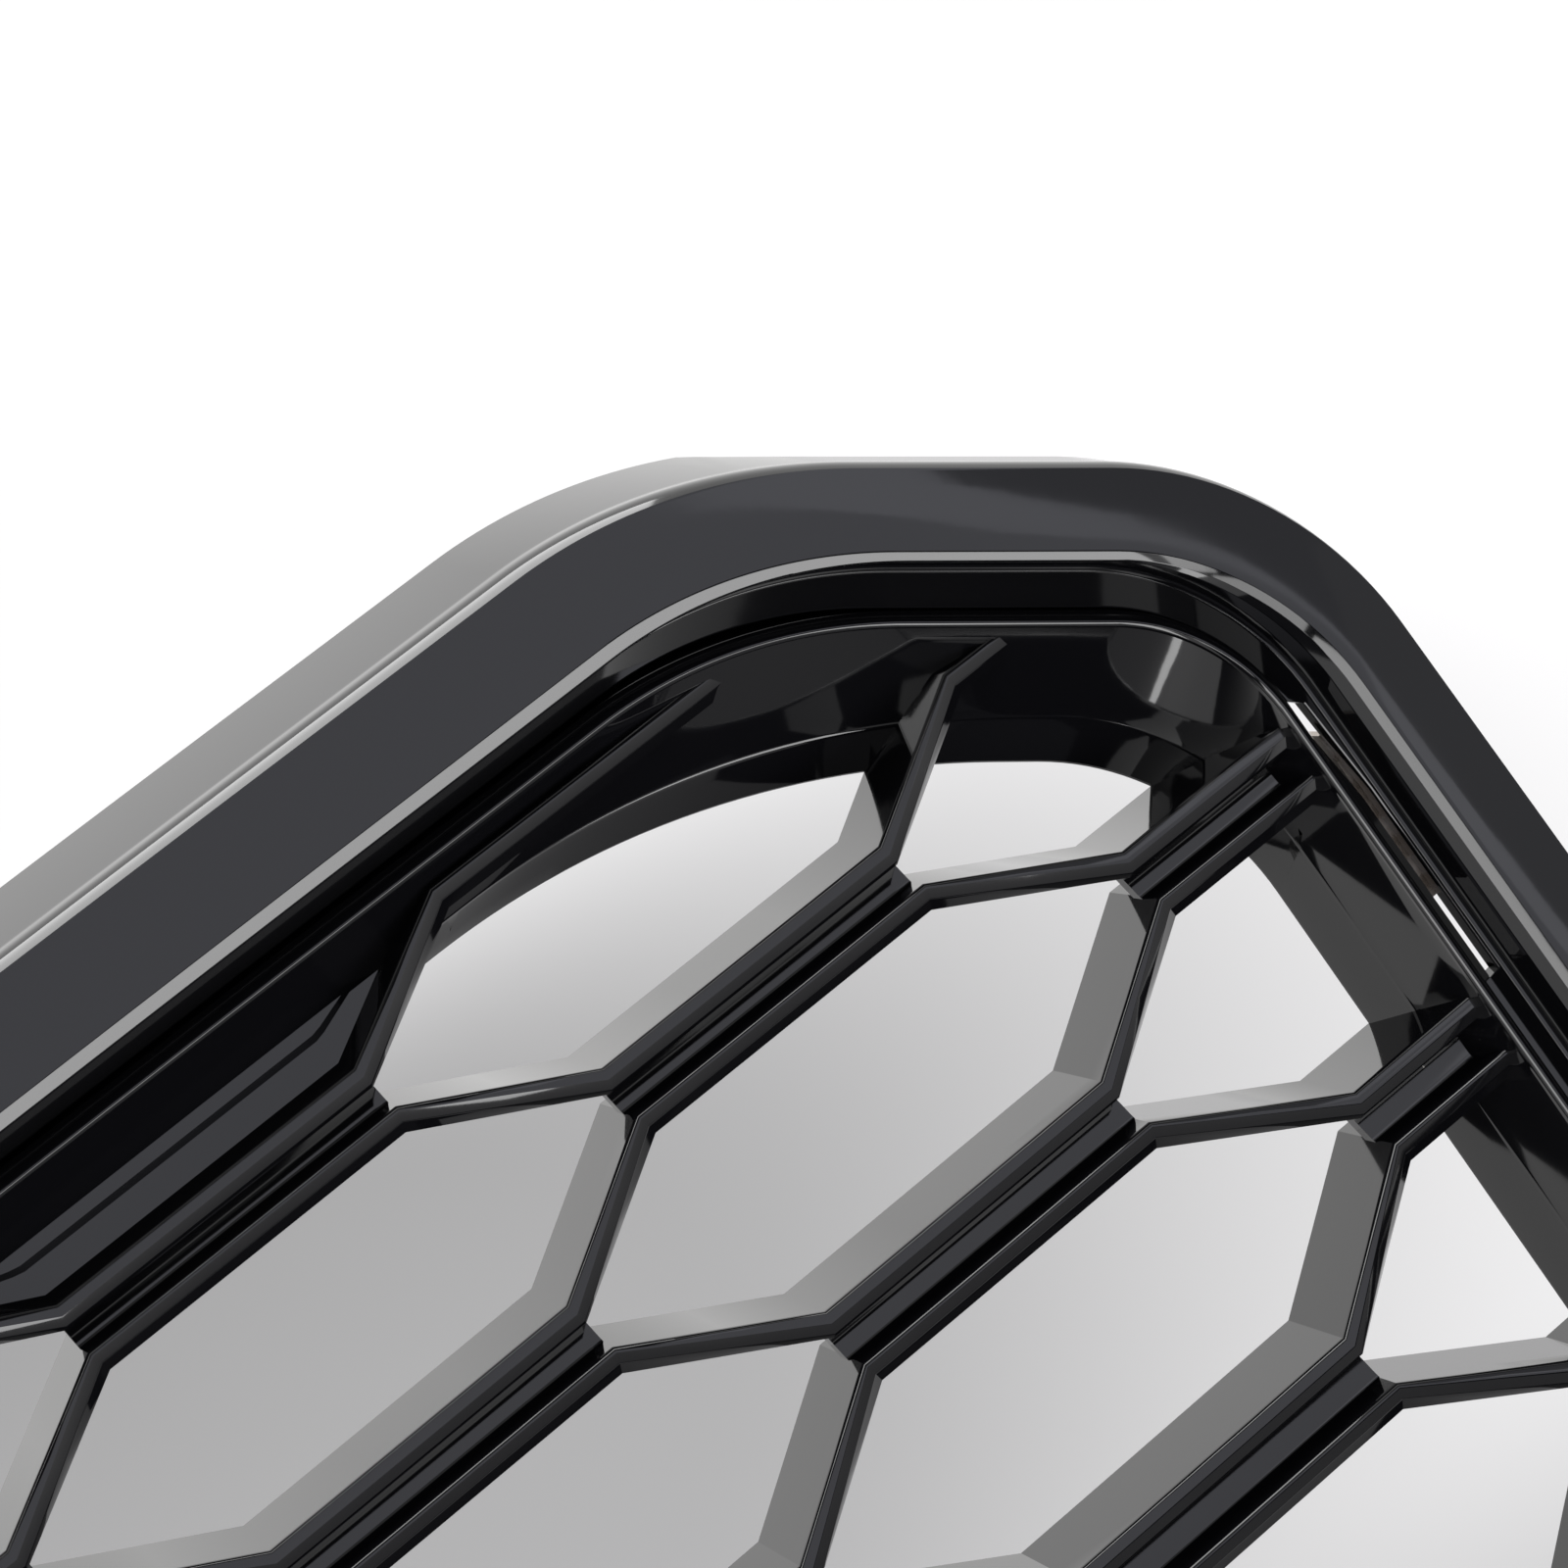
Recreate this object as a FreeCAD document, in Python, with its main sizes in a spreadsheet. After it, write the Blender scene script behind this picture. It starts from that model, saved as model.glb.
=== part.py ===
import FreeCAD, Part
import math
import os
from FreeCAD import Placement, Rotation, Vector

# Front grille: a bezel frame holding a honeycomb insert, with its fixings.
# Frame of the part: X across the car, Y towards the rear, Z up.
# The origin is the middle of the two upper fixing slots.
# Shapes are laid out about the middle of honeycomb row 0 and then placed at the origin.

doc = FreeCAD.newDocument("front_grille")

# ---------------------------------------------------------------- dimensions
DIMENSIONS = [
    ("column_pitch", 60.0, "distance between neighbouring columns of bars"),
    ("row_pitch", 15.8, "height between neighbouring rows of bars at row 0"),
    ("row_growth", 0.001, "how much the rows grow towards the bottom, per mm"),
    ("droop_radius", 6400.0, "radius of the rows' fall towards the sides"),
    ("centre_rise", 10.0, "height of row 0 on the centre line"),
    ("bar_length", 40.6, "straight length of a bar between its splits"),
    ("ridge_spacing", 5.8, "distance between the two ridges of a bar"),
    ("wall_thickness", 2.4, "thickness of the honeycomb walls"),
    ("mesh_depth", 15.0, "depth of the honeycomb along Y"),
    ("channel_depth", 5.0, "depth of the channel in each bar"),
    ("web_thickness", 2.5, "thickness of the webs and of the closed floors"),
    ("closed_floor_depth", 8.0, "depth of the floor of the closed top cells"),
    ("bow_radius", 3300.0, "radius of the front seen from above"),
    ("rake_angle", 24.5, "lean of the front towards the rear"),
    ("rim_top", 42.2, "height of the rim on the centre line"),
    ("rim_bottom", -132.3, "height of the lower rim on the centre line"),
    ("shoulder_x", 340.0, "where the top edge becomes straight"),
    ("chamfer_x", 408.7, "a point on the rim's corner chamfer"),
    ("chamfer_z", 11.4, "a point on the rim's corner chamfer"),
    ("chamfer_angle", 38.7, "slope of the corner chamfer"),
    ("side_x", 427.1, "a point on the rim's side"),
    ("side_z", -3.3, "a point on the rim's side"),
    ("side_lean", 10.8, "lean of the sides towards the middle"),
    ("corner_radius", 50.0, "rim radius between top and chamfer"),
    ("elbow_radius", 20.0, "rim radius between chamfer and side"),
    ("foot_radius", 28.0, "rim radius between side and bottom"),
    ("rim_thickness", 2.5, "thickness of the insert's rim"),
    ("rim_height", 2.5, "how far the rim stands in front of the mesh"),
    ("rear_lip", 8.0, "width of the lip behind the border cells"),
    ("groove_top", 5.4, "width of the groove along the top and the bottom"),
    ("groove_chamfer", 7.0, "width of the groove along the chamfer"),
    ("groove_side", 6.4, "width of the groove along the side"),
    ("groove_wall", 3.7, "thickness of the bezel's wall along the groove"),
    ("bezel_top", 14.1, "width of the bezel's face along the top and the bottom"),
    ("bezel_chamfer", 12.0, "width of the bezel's face along the chamfer"),
    ("bezel_side", 10.1, "width of the bezel's face along the side"),
    ("bezel_elbow", 33.0, "bezel's outer radius between chamfer and side"),
    ("bezel_height", 8.0, "how far the bezel stands in front of the mesh"),
    ("bezel_thickness", 2.5, "wall thickness of the bezel frame"),
    ("bezel_depth", 25.0, "depth of the bezel's outer wall"),
    ("ledge_depth", 1.0, "depth of the groove's ledge behind the mesh face"),
    ("slot_width", 2.4, "width of the clip slot in the ledge"),
    ("flange_depth", 9.0, "depth of the insert's fixing flange"),
    ("screw_radius", 1.4, "radius of the tapping screws"),
    ("screw_head_radius", 3.4, "head radius of the tapping screws"),
    ("screw_head_height", 2.2, "head height of the tapping screws"),
    ("boss_radius", 3.0, "radius of the frame's screw bosses"),
    ("boss_offset", 6.0, "distance of the bosses outside the rim"),
    ("pad_depth", 4.5, "depth of the insert's screw pads"),
    ("bracket_spacing", 480.0, "distance between the upper fixing slots"),
    ("bracket_width", 36.0, "width of an upper bracket"),
    ("bracket_thickness", 2.5, "sheet thickness of an upper bracket"),
    ("bracket_level", 61.5, "height of the bracket seats above row 0"),
    ("bracket_front", 37.0, "front edge of the brackets"),
    ("bracket_reach", 41.0, "length of the brackets along Y"),
    ("fixing_reach", 31.0, "distance from bracket front to the slot"),
    ("fixing_radius", 3.3, "half width of the fixing slots"),
    ("fixing_slot", 10.0, "end to end length of the fixing slots"),
    ("bracket_screw_spacing", 20.0, "distance between the two bracket screws"),
    ("bracket_screw_reach", 7.4, "distance from bracket front to its screws"),
    ("pin_spacing", 400.0, "distance between the lower locating pins"),
    ("pin_radius", 4.0, "radius of the locating pins"),
    ("pin_neck_radius", 4.5, "radius of the pins under their grommets"),
    ("pin_length", 12.0, "free length of the locating pins"),
    ("pin_flange_radius", 9.0, "radius of the pins' flanges"),
    ("pin_flange_height", 3.0, "height of the pins' flanges"),
    ("pin_seat", -158.0, "height of the pins' seats below row 0"),
    ("pin_y", -50.0, "place of the pins along Y"),
    ("grommet_radius", 9.0, "outer radius of the grommets"),
    ("grommet_height", 8.0, "height of the grommets"),
    ("tab_width", 9.5, "width of the clip tabs"),
    ("tab_reach", 9.0, "length of the clip tabs behind the wall"),
    ("tab_thickness", 2.0, "thickness of the clip tabs"),
    ("clip_sheet", 0.8, "sheet thickness of the spring clips"),
    ("clip_length", 7.5, "length of the spring clips"),
    ("clip_width", 8.0, "width of the spring clips"),
    ("felt_thickness", 1.2, "thickness of the felt strips"),
]

sheet = doc.addObject("Spreadsheet::Sheet", "Dimensions")
for row_number, (alias, number, meaning) in enumerate(DIMENSIONS, start=1):
    sheet.set(f"A{row_number}", meaning)
    sheet.set(f"B{row_number}", str(number))
    sheet.setAlias(f"B{row_number}", alias)
doc.recompute()


def dim(alias):
    return float(getattr(sheet, alias))


RAKE = math.tan(math.radians(dim("rake_angle")))
HALF_WALL = dim("wall_thickness") / 2
HALF_RIM = dim("rim_thickness") / 2
BEZEL_REACH = dim("groove_top") + dim("bezel_top")  # from the rim to the bezel's top edge
DATUM = Vector(0, dim("bracket_front") + dim("fixing_reach"), dim("bracket_level") + dim("bracket_thickness") / 2)
AT_ORIGIN = Placement(DATUM.negative(), Rotation())
FAR = 250.0          # longer than anything in the part along Y or Z
HALF_SPAN = 500.0    # wider than half the part


# ------------------------------------------------------------ curved surfaces
def surface_y(x, z):
    """Y of the mesh's front surface: bowed in plan, leaning to the rear."""
    bow = dim("bow_radius")
    return bow - math.sqrt(bow * bow - x * x) + z * RAKE


def slab(front, back):
    """Solid between the front surface shifted by front and by back along Y."""
    low = -FAR
    ends = {}
    for depth in (front, back):
        edge_y = surface_y(HALF_SPAN, low) + depth
        left = Vector(-HALF_SPAN, edge_y, low)
        middle = Vector(0, surface_y(0, low) + depth, low)
        right = Vector(HALF_SPAN, edge_y, low)
        ends[depth] = (left, Part.Arc(left, middle, right).toShape(), right)
    front_left, front_arc, front_right = ends[front]
    back_left, back_arc, back_right = ends[back]
    side_right = Part.makeLine(front_right, back_right)
    side_left = Part.makeLine(back_left, front_left)
    profile = Part.Face(Part.Wire(Part.__sortEdges__([front_arc, side_right, back_arc, side_left])))
    return profile.extrude(Vector(0, 2 * FAR * RAKE, 2 * FAR))


def layer(footprint, front, back):
    """The footprint, drawn in XZ, between two depths behind the mesh surface."""
    prism = footprint.copy()
    prism.translate(Vector(0, -FAR, 0))
    return prism.extrude(Vector(0, 2 * FAR, 0)).common(slab(front, back))


# ------------------------------------------------------------------- outlines
def meet(first, second):
    """Where two lines, each a point and a direction in XZ, cross."""
    (px, pz, dx, dz), (qx, qz, ex, ez) = first, second
    step = ((qx - px) * ez - (qz - pz) * ex) / (dx * ez - dz * ex)
    return px + dx * step, pz + dz * step


def shifted(line, outwards):
    """The line moved to its left by the given distance."""
    px, pz, dx, dz = line
    length = math.hypot(dx, dz)
    return px - dz / length * outwards, pz + dx / length * outwards, dx, dz


def edge_lines(top, chamfer, side, bottom):
    """The right half's edge lines, moved outwards, and the arcs' mid heights."""
    droop = dim("droop_radius")
    tilt = math.asin(dim("shoulder_x") / droop)
    level = (math.cos(tilt), -math.sin(tilt))
    lines = []
    heights = []
    for reach, rim, outwards in ((droop + top, dim("rim_top"), top), (droop - bottom, dim("rim_bottom"), -bottom)):
        centre_z = rim - droop
        lines.append((reach * math.sin(tilt), centre_z + reach * math.cos(tilt), *level))
        heights.append(rim + outwards)
    slope = math.radians(dim("chamfer_angle"))
    lean = math.radians(dim("side_lean"))
    chamfer_line = (dim("chamfer_x"), dim("chamfer_z"), math.cos(slope), -math.sin(slope))
    side_line = (dim("side_x"), dim("side_z"), -math.sin(lean), -math.cos(lean))
    return lines[0], shifted(chamfer_line, chamfer), shifted(side_line, side), lines[1], heights


def fillet_points(before, corner, after, radius):
    """Start, middle and end of the arc that rounds a corner."""
    to_before = Vector(before[0] - corner[0], 0, before[1] - corner[1]).normalize()
    to_after = Vector(after[0] - corner[0], 0, after[1] - corner[1]).normalize()
    half = to_before.getAngle(to_after) / 2
    place = Vector(corner[0], 0, corner[1])
    bisector = (to_before + to_after).normalize()
    tangent = radius / math.tan(half)
    to_arc = radius / math.sin(half) - radius
    return place + to_before * tangent, place + bisector * to_arc, place + to_after * tangent


def outline(top, chamfer=None, side=None, bottom=None, radii=None):
    """Closed wire parallel to the rim's centre line, drawn in XZ at Y = 0.

    One number moves the whole outline; four move its edges one by one.
    """
    chamfer = top if chamfer is None else chamfer
    side = top if side is None else side
    bottom = top if bottom is None else bottom
    top_line, chamfer_line, side_line, bottom_line, heights = edge_lines(top, chamfer, side, bottom)
    if radii is None:
        radii = (dim("corner_radius") + chamfer, dim("elbow_radius") + chamfer, dim("foot_radius") + side)
    corners = [
        (top_line[0], top_line[1]),
        meet(top_line, chamfer_line),
        meet(chamfer_line, side_line),
        meet(side_line, bottom_line),
        (bottom_line[0], bottom_line[1]),
    ]
    path = [[Vector(corners[0][0], 0, corners[0][1])]]
    for number, radius in enumerate(radii, start=1):
        path.append(fillet_points(corners[number - 1], corners[number], corners[number + 1], radius))
    path.append([Vector(corners[4][0], 0, corners[4][1])])
    edges = []
    for mirror in (1, -1):
        half = [[Vector(mirror * p.x, 0, p.z) for p in points] for points in path]
        for points, following in zip(half[:-1], half[1:]):
            if len(points) == 3:
                edges.append(Part.Arc(*points).toShape())
            edges.append(Part.makeLine(points[-1], following[0]))
    for height, line in ((heights[0], top_line), (heights[1], bottom_line)):
        left = Vector(-line[0], 0, line[1])
        right = Vector(line[0], 0, line[1])
        edges.append(Part.Arc(left, Vector(0, 0, height), right).toShape())
    return Part.Wire(Part.__sortEdges__(edges))


def disc(*offsets, **options):
    return Part.Face(outline(*offsets, **options))


def ring(outer, inner):
    return Part.makeFace([outer, inner], "Part::FaceMakerBullseye")


def groove_edge(outset=0.0):
    """The bezel's inner edge, or a wire parallel to it further out."""
    top = dim("groove_top") + outset
    return outline(top, dim("groove_chamfer") + outset, dim("groove_side") + outset, top)


def bezel_edge(inset=0.0):
    """The bezel's outer edge, or a wire parallel to it further in."""
    top = BEZEL_REACH - inset
    chamfer = dim("groove_chamfer") + dim("bezel_chamfer") - inset
    side = dim("groove_side") + dim("bezel_side") - inset
    radii = (dim("corner_radius") + chamfer, dim("bezel_elbow") - inset, dim("foot_radius") + side)
    return outline(top, chamfer, side, top, radii)


# --------------------------------------------------------- places on the rim
def top_place(x, outwards):
    """Height of the top edge, moved outwards, at x."""
    reach = dim("droop_radius") + outwards
    return dim("rim_top") - dim("droop_radius") + math.sqrt(reach * reach - x * x)


def bottom_place(x, outwards):
    """Height of the bottom edge, moved outwards, at x."""
    reach = dim("droop_radius") - outwards
    return dim("rim_bottom") - dim("droop_radius") + math.sqrt(reach * reach - x * x)


def side_place(z, outwards):
    """X of the right side, moved outwards, at height z."""
    lean = math.radians(dim("side_lean"))
    return dim("side_x") + (z - dim("side_z")) * math.tan(lean) + outwards / math.cos(lean)


TOP_SCREW_X = [0, 120, -120, 240, -240, 345, -345]
BOTTOM_SCREW_X = [0, 120, -120, 240, -240, 350, -350]
SIDE_SCREW_Z = [-62, -112]
OFFSET = dim("boss_offset")
SCREWS = {
    "top": [(x, top_place(x, OFFSET)) for x in TOP_SCREW_X],
    "bottom": [(x, bottom_place(x, OFFSET)) for x in BOTTOM_SCREW_X],
    "right": [(side_place(z, OFFSET), z) for z in SIDE_SCREW_Z],
    "left": [(-side_place(z, OFFSET), z) for z in SIDE_SCREW_Z],
}
ALL_SCREWS = [place for group in SCREWS.values() for place in group]
TOP_TAB_X = [54, -54, 158, -158, 314, -314, 366, -366]
BOTTOM_TAB_X = [0, 110, -110, 300, -300, 370, -370]
BRACKET_X = [dim("bracket_spacing") / 2, -dim("bracket_spacing") / 2]
PIN_X = [dim("pin_spacing") / 2, -dim("pin_spacing") / 2]
SLOT_Z = (-47.0, -13.0)       # span of the clip slots in the ledge
SIDE_CLIP_Z = (-40.0, -20.0)  # span of the spring clips behind those slots
REAR = dim("bezel_depth") - dim("bezel_height")


def cylinder_y(x, z, radius, start, end):
    """Cylinder along Y between two distances behind the mesh surface at x, z."""
    base = Vector(x, surface_y(x, z) + start, z)
    return Part.makeCylinder(radius, end - start, base, Vector(0, 1, 0))


def tab_box(x, z_low):
    """Clip tab standing out behind the outer wall, its underside at z_low."""
    rear = surface_y(x, z_low) + REAR
    width = dim("tab_width")
    corner = Vector(x - width / 2, rear - 4, z_low)
    return Part.makeBox(width, dim("tab_reach") + 4, dim("tab_thickness"), corner)


def tab_level(x, top):
    """Height of the underside of a clip tab, inside the wall's thickness."""
    margin = 0.3
    if top:
        return top_place(abs(x) + dim("tab_width") / 2, BEZEL_REACH) - dim("tab_thickness") - margin
    return bottom_place(abs(x) - dim("tab_width") / 2, BEZEL_REACH) + margin


def side_window(span, margin=0.0):
    """Box across the whole part between two heights."""
    low, high = span
    corner = Vector(-HALF_SPAN, -FAR, low - margin)
    return Part.makeBox(2 * HALF_SPAN, 2 * FAR, high - low + 2 * margin, corner)


# ------------------------------------------------------------- bezel frame
def carve(solid, tool):
    """The solid without the tool, with its volume checked."""
    expected = solid.Volume - solid.common(tool).Volume
    carved = solid.cut(tool)
    if abs(carved.Volume - expected) > 1e-4 * solid.Volume or carved.Volume >= solid.Volume:
        raise RuntimeError("a cut went wrong")
    return carved


def make_frame():
    thickness = dim("bezel_thickness")
    front = -dim("bezel_height")
    inner = HALF_RIM + 0.75
    ledge = dim("ledge_depth")
    opening = outline(inner - 1)
    frame = layer(ring(bezel_edge(), outline(inner)), front, REAR)
    frame = carve(frame, layer(ring(groove_edge(), opening), front - 1, ledge))
    wall = dim("groove_wall")
    hollow = ring(bezel_edge(thickness), groove_edge(wall))
    frame = carve(frame, layer(hollow, front + thickness, REAR + 1))
    behind = ring(groove_edge(wall + 1), opening)
    frame = carve(frame, layer(behind, ledge + thickness, REAR + 1))
    slot_band = layer(ring(outline(inner + dim("slot_width")), opening), 0, ledge + thickness + 1)
    frame = carve(frame, slot_band.common(side_window(SLOT_Z)))

    behind_ledge = slab(ledge + thickness / 2, 2 * FAR)
    bosses = [cylinder_y(x, z, dim("boss_radius"), -5, dim("flange_depth")) for x, z in ALL_SCREWS]
    additions = [boss.common(behind_ledge) for boss in bosses]
    additions += [tab_box(x, tab_level(x, True)) for x in TOP_TAB_X]
    additions += [tab_box(x, tab_level(x, False)) for x in BOTTOM_TAB_X]

    wall_top = top_place(BRACKET_X[0] + dim("bracket_width") / 2, BEZEL_REACH)
    for x in BRACKET_X:
        seat_back = surface_y(x, wall_top) + REAR
        corner = Vector(x - dim("bracket_width") / 2, dim("bracket_front"), wall_top - thickness / 2)
        seat_height = dim("bracket_level") - corner.z
        additions.append(Part.makeBox(dim("bracket_width"), seat_back - corner.y, seat_height, corner))
    wall_bottom = bottom_place(PIN_X[0], BEZEL_REACH)
    radius = dim("pin_flange_radius")
    for x in PIN_X:
        corner = Vector(x - radius, dim("pin_y") - radius, dim("pin_seat"))
        pad_height = wall_bottom + thickness - dim("pin_seat")
        additions.append(Part.makeBox(2 * radius, 2 * radius, pad_height, corner))
    frame = frame.fuse(additions)

    holes = []
    for x, z in ALL_SCREWS:
        holes.append(cylinder_y(x, z, dim("screw_radius") + 0.1, dim("flange_depth") - 4.5, dim("flange_depth") + 1))
    for x in BRACKET_X:
        for side in (-0.5, 0.5):
            screw_x = x + side * dim("bracket_screw_spacing")
            base = Vector(screw_x, dim("bracket_front") + dim("bracket_screw_reach"), dim("bracket_level") + 1)
            holes.append(Part.makeCylinder(dim("screw_radius") + 0.1, 9, base, Vector(0, 0, -1)))
    for x in PIN_X:
        base = Vector(x, dim("pin_y"), dim("pin_seat") - 1)
        holes.append(Part.makeCylinder(dim("screw_radius") + 0.4, 12, base))
    return carve(frame, Part.makeCompound(holes))


# --------------------------------------------------------- honeycomb insert
def lattice_point(column, row, along, across):
    """A point given from the middle of a bar; columns count from the middle."""
    x = column * dim("column_pitch") + along
    height = row * dim("row_pitch") + across
    height -= dim("row_growth") * height * height
    return x, height + dim("centre_rise") - x * x / (2 * dim("droop_radius"))


def inset(points, distances):
    """The polygon, counter-clockwise in XZ, with each edge moved inwards."""
    lines = []
    for (ax, az), (bx, bz), distance in zip(points, points[1:] + points[:1], distances):
        lines.append(shifted((ax, az, bx - ax, bz - az), distance))
    return [meet(before, after) for before, after in zip(lines[-1:] + lines[:-1], lines)]


def polygon(points):
    corners = [Vector(x, 0, z) for x, z in points]
    return Part.Face(Part.makePolygon(corners + corners[:1]))


def cell(column, row):
    """Opening between bars: an elongated hexagon whose tips are cut square."""
    bar = dim("bar_length") / 2
    ridge = dim("ridge_spacing") / 2
    points = [
        lattice_point(column, row - 1, -bar, ridge),
        lattice_point(column, row - 1, bar, ridge),
        lattice_point(column + 1, row, -bar, -ridge),
        lattice_point(column + 1, row, -bar, ridge),
        lattice_point(column, row + 1, bar, -ridge),
        lattice_point(column, row + 1, -bar, -ridge),
        lattice_point(column - 1, row, bar, ridge),
        lattice_point(column - 1, row, bar, -ridge),
    ]
    wall = HALF_WALL
    return polygon(inset(points, [wall, wall, 0, wall, wall, wall, 0, wall]))


def channel(column, row):
    """The sunk strip between the two ridges of a bar."""
    bar = dim("bar_length") / 2 + 0.5
    ridge = dim("ridge_spacing") / 2 - HALF_WALL
    return polygon([
        lattice_point(column, row, -bar, -ridge),
        lattice_point(column, row, bar, -ridge),
        lattice_point(column, row, bar, ridge),
        lattice_point(column, row, -bar, ridge),
    ])


def clipped(faces, border):
    """Parts of the faces inside the border, without slivers."""
    smallest = 4.0
    kept = []
    for face in faces:
        for piece in face.common(border).Faces:
            if piece.Area > smallest:
                kept.append(piece)
    return kept


ROWS = range(-9, 4)
COLUMNS = range(-8, 9)
CLOSED_ROW = 2
CLOSED_COLUMNS = (-5, -3, -1, 1, 3, 5)


def make_insert():
    depth = dim("mesh_depth")
    border = disc(-HALF_RIM)
    lip_radii = (dim("corner_radius") + 10, dim("elbow_radius") + 8, dim("foot_radius"))
    lip_border = disc(-dim("rear_lip"), radii=lip_radii)
    open_cells = []
    closed_cells = []
    channels = []
    for column in COLUMNS:
        for row in ROWS:
            if (column + row) % 2 == 0:
                channels.append(channel(column, row))
            elif row == CLOSED_ROW and column in CLOSED_COLUMNS:
                closed_cells.append(cell(column, row))
            else:
                open_cells.append(cell(column, row))

    insert = layer(disc(HALF_RIM), -dim("rim_height"), depth)
    insert = carve(insert, layer(border, -dim("rim_height") - 1, 0))
    web = dim("web_thickness")
    rear_web = dim("channel_depth") + web
    for faces, edge, start, end in (
        (open_cells, border, -1, depth - web),
        (open_cells, lip_border, depth - web - 1, depth + 1),
        (closed_cells, border, -1, dim("closed_floor_depth")),
        (channels, disc(-HALF_RIM - 1), -1, dim("channel_depth")),
        (channels, disc(-dim("rear_lip") - 1), rear_web, depth + 1),
    ):
        insert = carve(insert, layer(Part.makeCompound(clipped(faces, edge)), start, end))

    flange_depth = dim("flange_depth")
    flange = layer(ring(outline(10), outline(0)), flange_depth, flange_depth + dim("bezel_thickness"))
    beyond_rim = layer(ring(outline(11), outline(HALF_RIM)), flange_depth - 1, flange_depth + 4)
    flange = carve(flange, beyond_rim.common(side_window(SLOT_Z, 3)))
    pads = [cylinder_y(x, z, 4.0, flange_depth, flange_depth + dim("pad_depth")) for x, z in ALL_SCREWS]
    flange = flange.fuse(pads)
    clearance = [cylinder_y(x, z, 3.6, 0, flange_depth) for x, z in ALL_SCREWS]
    clearance += [cylinder_y(x, z, 1.9, 0, flange_depth + 12) for x, z in ALL_SCREWS]
    return insert.fuse(flange.cut(clearance))


# ------------------------------------------------------------------ fixings
def keep(name, shape):
    """Store a shape worked out above as a named sub-part at the origin."""
    feature = doc.addObject("Part::Feature", name)
    feature.Shape = shape
    feature.Label = name
    feature.Placement = AT_ORIGIN
    return feature


def group(name, master, places):
    """Identical fasteners: copies of one shape as separate solids."""
    copies = []
    for place in places:
        item = master.copy()
        item.Placement = place
        copies.append(item)
    return keep(name, Part.makeCompound(copies))


def bind(target, **expressions):
    for name, expression in expressions.items():
        target.setExpression(name, expression)


def master_screw(name, shank):
    """Pan-head tapping screw along +Z, the underside of its head at Z = 0."""
    stem = doc.addObject("Part::Cylinder", name + "_stem")
    bind(stem, Radius="Dimensions.screw_radius")
    stem.Height = shank
    stem.Placement = Placement(Vector(0, 0, -shank), Rotation())
    head = doc.addObject("Part::Cylinder", name + "_head")
    bind(head, Radius="Dimensions.screw_head_radius", Height="Dimensions.screw_head_height")
    crown = doc.addObject("Part::Fillet", name + "_crown")
    crown.Base = head
    doc.recompute()
    rim_edge = [n for n, e in enumerate(head.Shape.Edges, 1) if e.BoundBox.ZMin > 1 and len(e.Vertexes) == 1]
    crown.Edges = [(rim_edge[0], 1.2, 1.2)]
    recess = doc.addObject("Part::Cone", name + "_recess")
    recess.Radius1 = 0.5
    recess.Radius2 = 1.5
    recess.Height = 1.6
    bind(recess, **{"Placement.Base.z": "Dimensions.screw_head_height - 1.4"})
    solid = doc.addObject("Part::Fuse", name + "_solid")
    solid.Base = crown
    solid.Tool = stem
    screw = doc.addObject("Part::Cut", name)
    screw.Base = solid
    screw.Tool = recess
    doc.recompute()
    return screw


def make_screws():
    screw = master_screw("tapping_screw", 8.6)
    turn = Rotation(Vector(0, 0, 1), Vector(0, 1, 0))
    seat = dim("flange_depth") + dim("pad_depth")
    for side, places in SCREWS.items():
        placements = [Placement(Vector(x, surface_y(x, z) + seat, z), turn) for x, z in places]
        group("insert_screws_" + side, screw.Shape, placements)
    seat_z = dim("bracket_level") + dim("bracket_thickness")
    seat_y = dim("bracket_front") + dim("bracket_screw_reach")
    for side, x in zip(("right", "left"), BRACKET_X):
        half = dim("bracket_screw_spacing") / 2
        placements = [Placement(Vector(x + shift, seat_y, seat_z), Rotation()) for shift in (-half, half)]
        group("bracket_screws_" + side, screw.Shape, placements)
    long_screw = master_screw("pin_screw", 15.0)
    pad_top = bottom_place(PIN_X[0], BEZEL_REACH) + dim("bezel_thickness")
    placements = [Placement(Vector(x, dim("pin_y"), pad_top), Rotation()) for x in PIN_X]
    group("lower_pin_screws", long_screw.Shape, placements)


def origin_plane(body, role):
    return next(plane for plane in body.Origin.OriginFeatures if plane.Role == role)


def sketch_on(body, role, name):
    sketch = body.newObject("Sketcher::SketchObject", name)
    sketch.AttachmentSupport = [(origin_plane(body, role), "")]
    sketch.MapMode = "FlatFace"
    return sketch


def add_polyline(sketch, points):
    """Closed polygon in a sketch, its ends joined by constraints."""
    import Sketcher
    count = len(points)
    for number, (u, v) in enumerate(points):
        nu, nv = points[(number + 1) % count]
        sketch.addGeometry(Part.LineSegment(Vector(u, v, 0), Vector(nu, nv, 0)))
    for number in range(count):
        sketch.addConstraint(Sketcher.Constraint("Coincident", number, 2, (number + 1) % count, 1))


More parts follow.
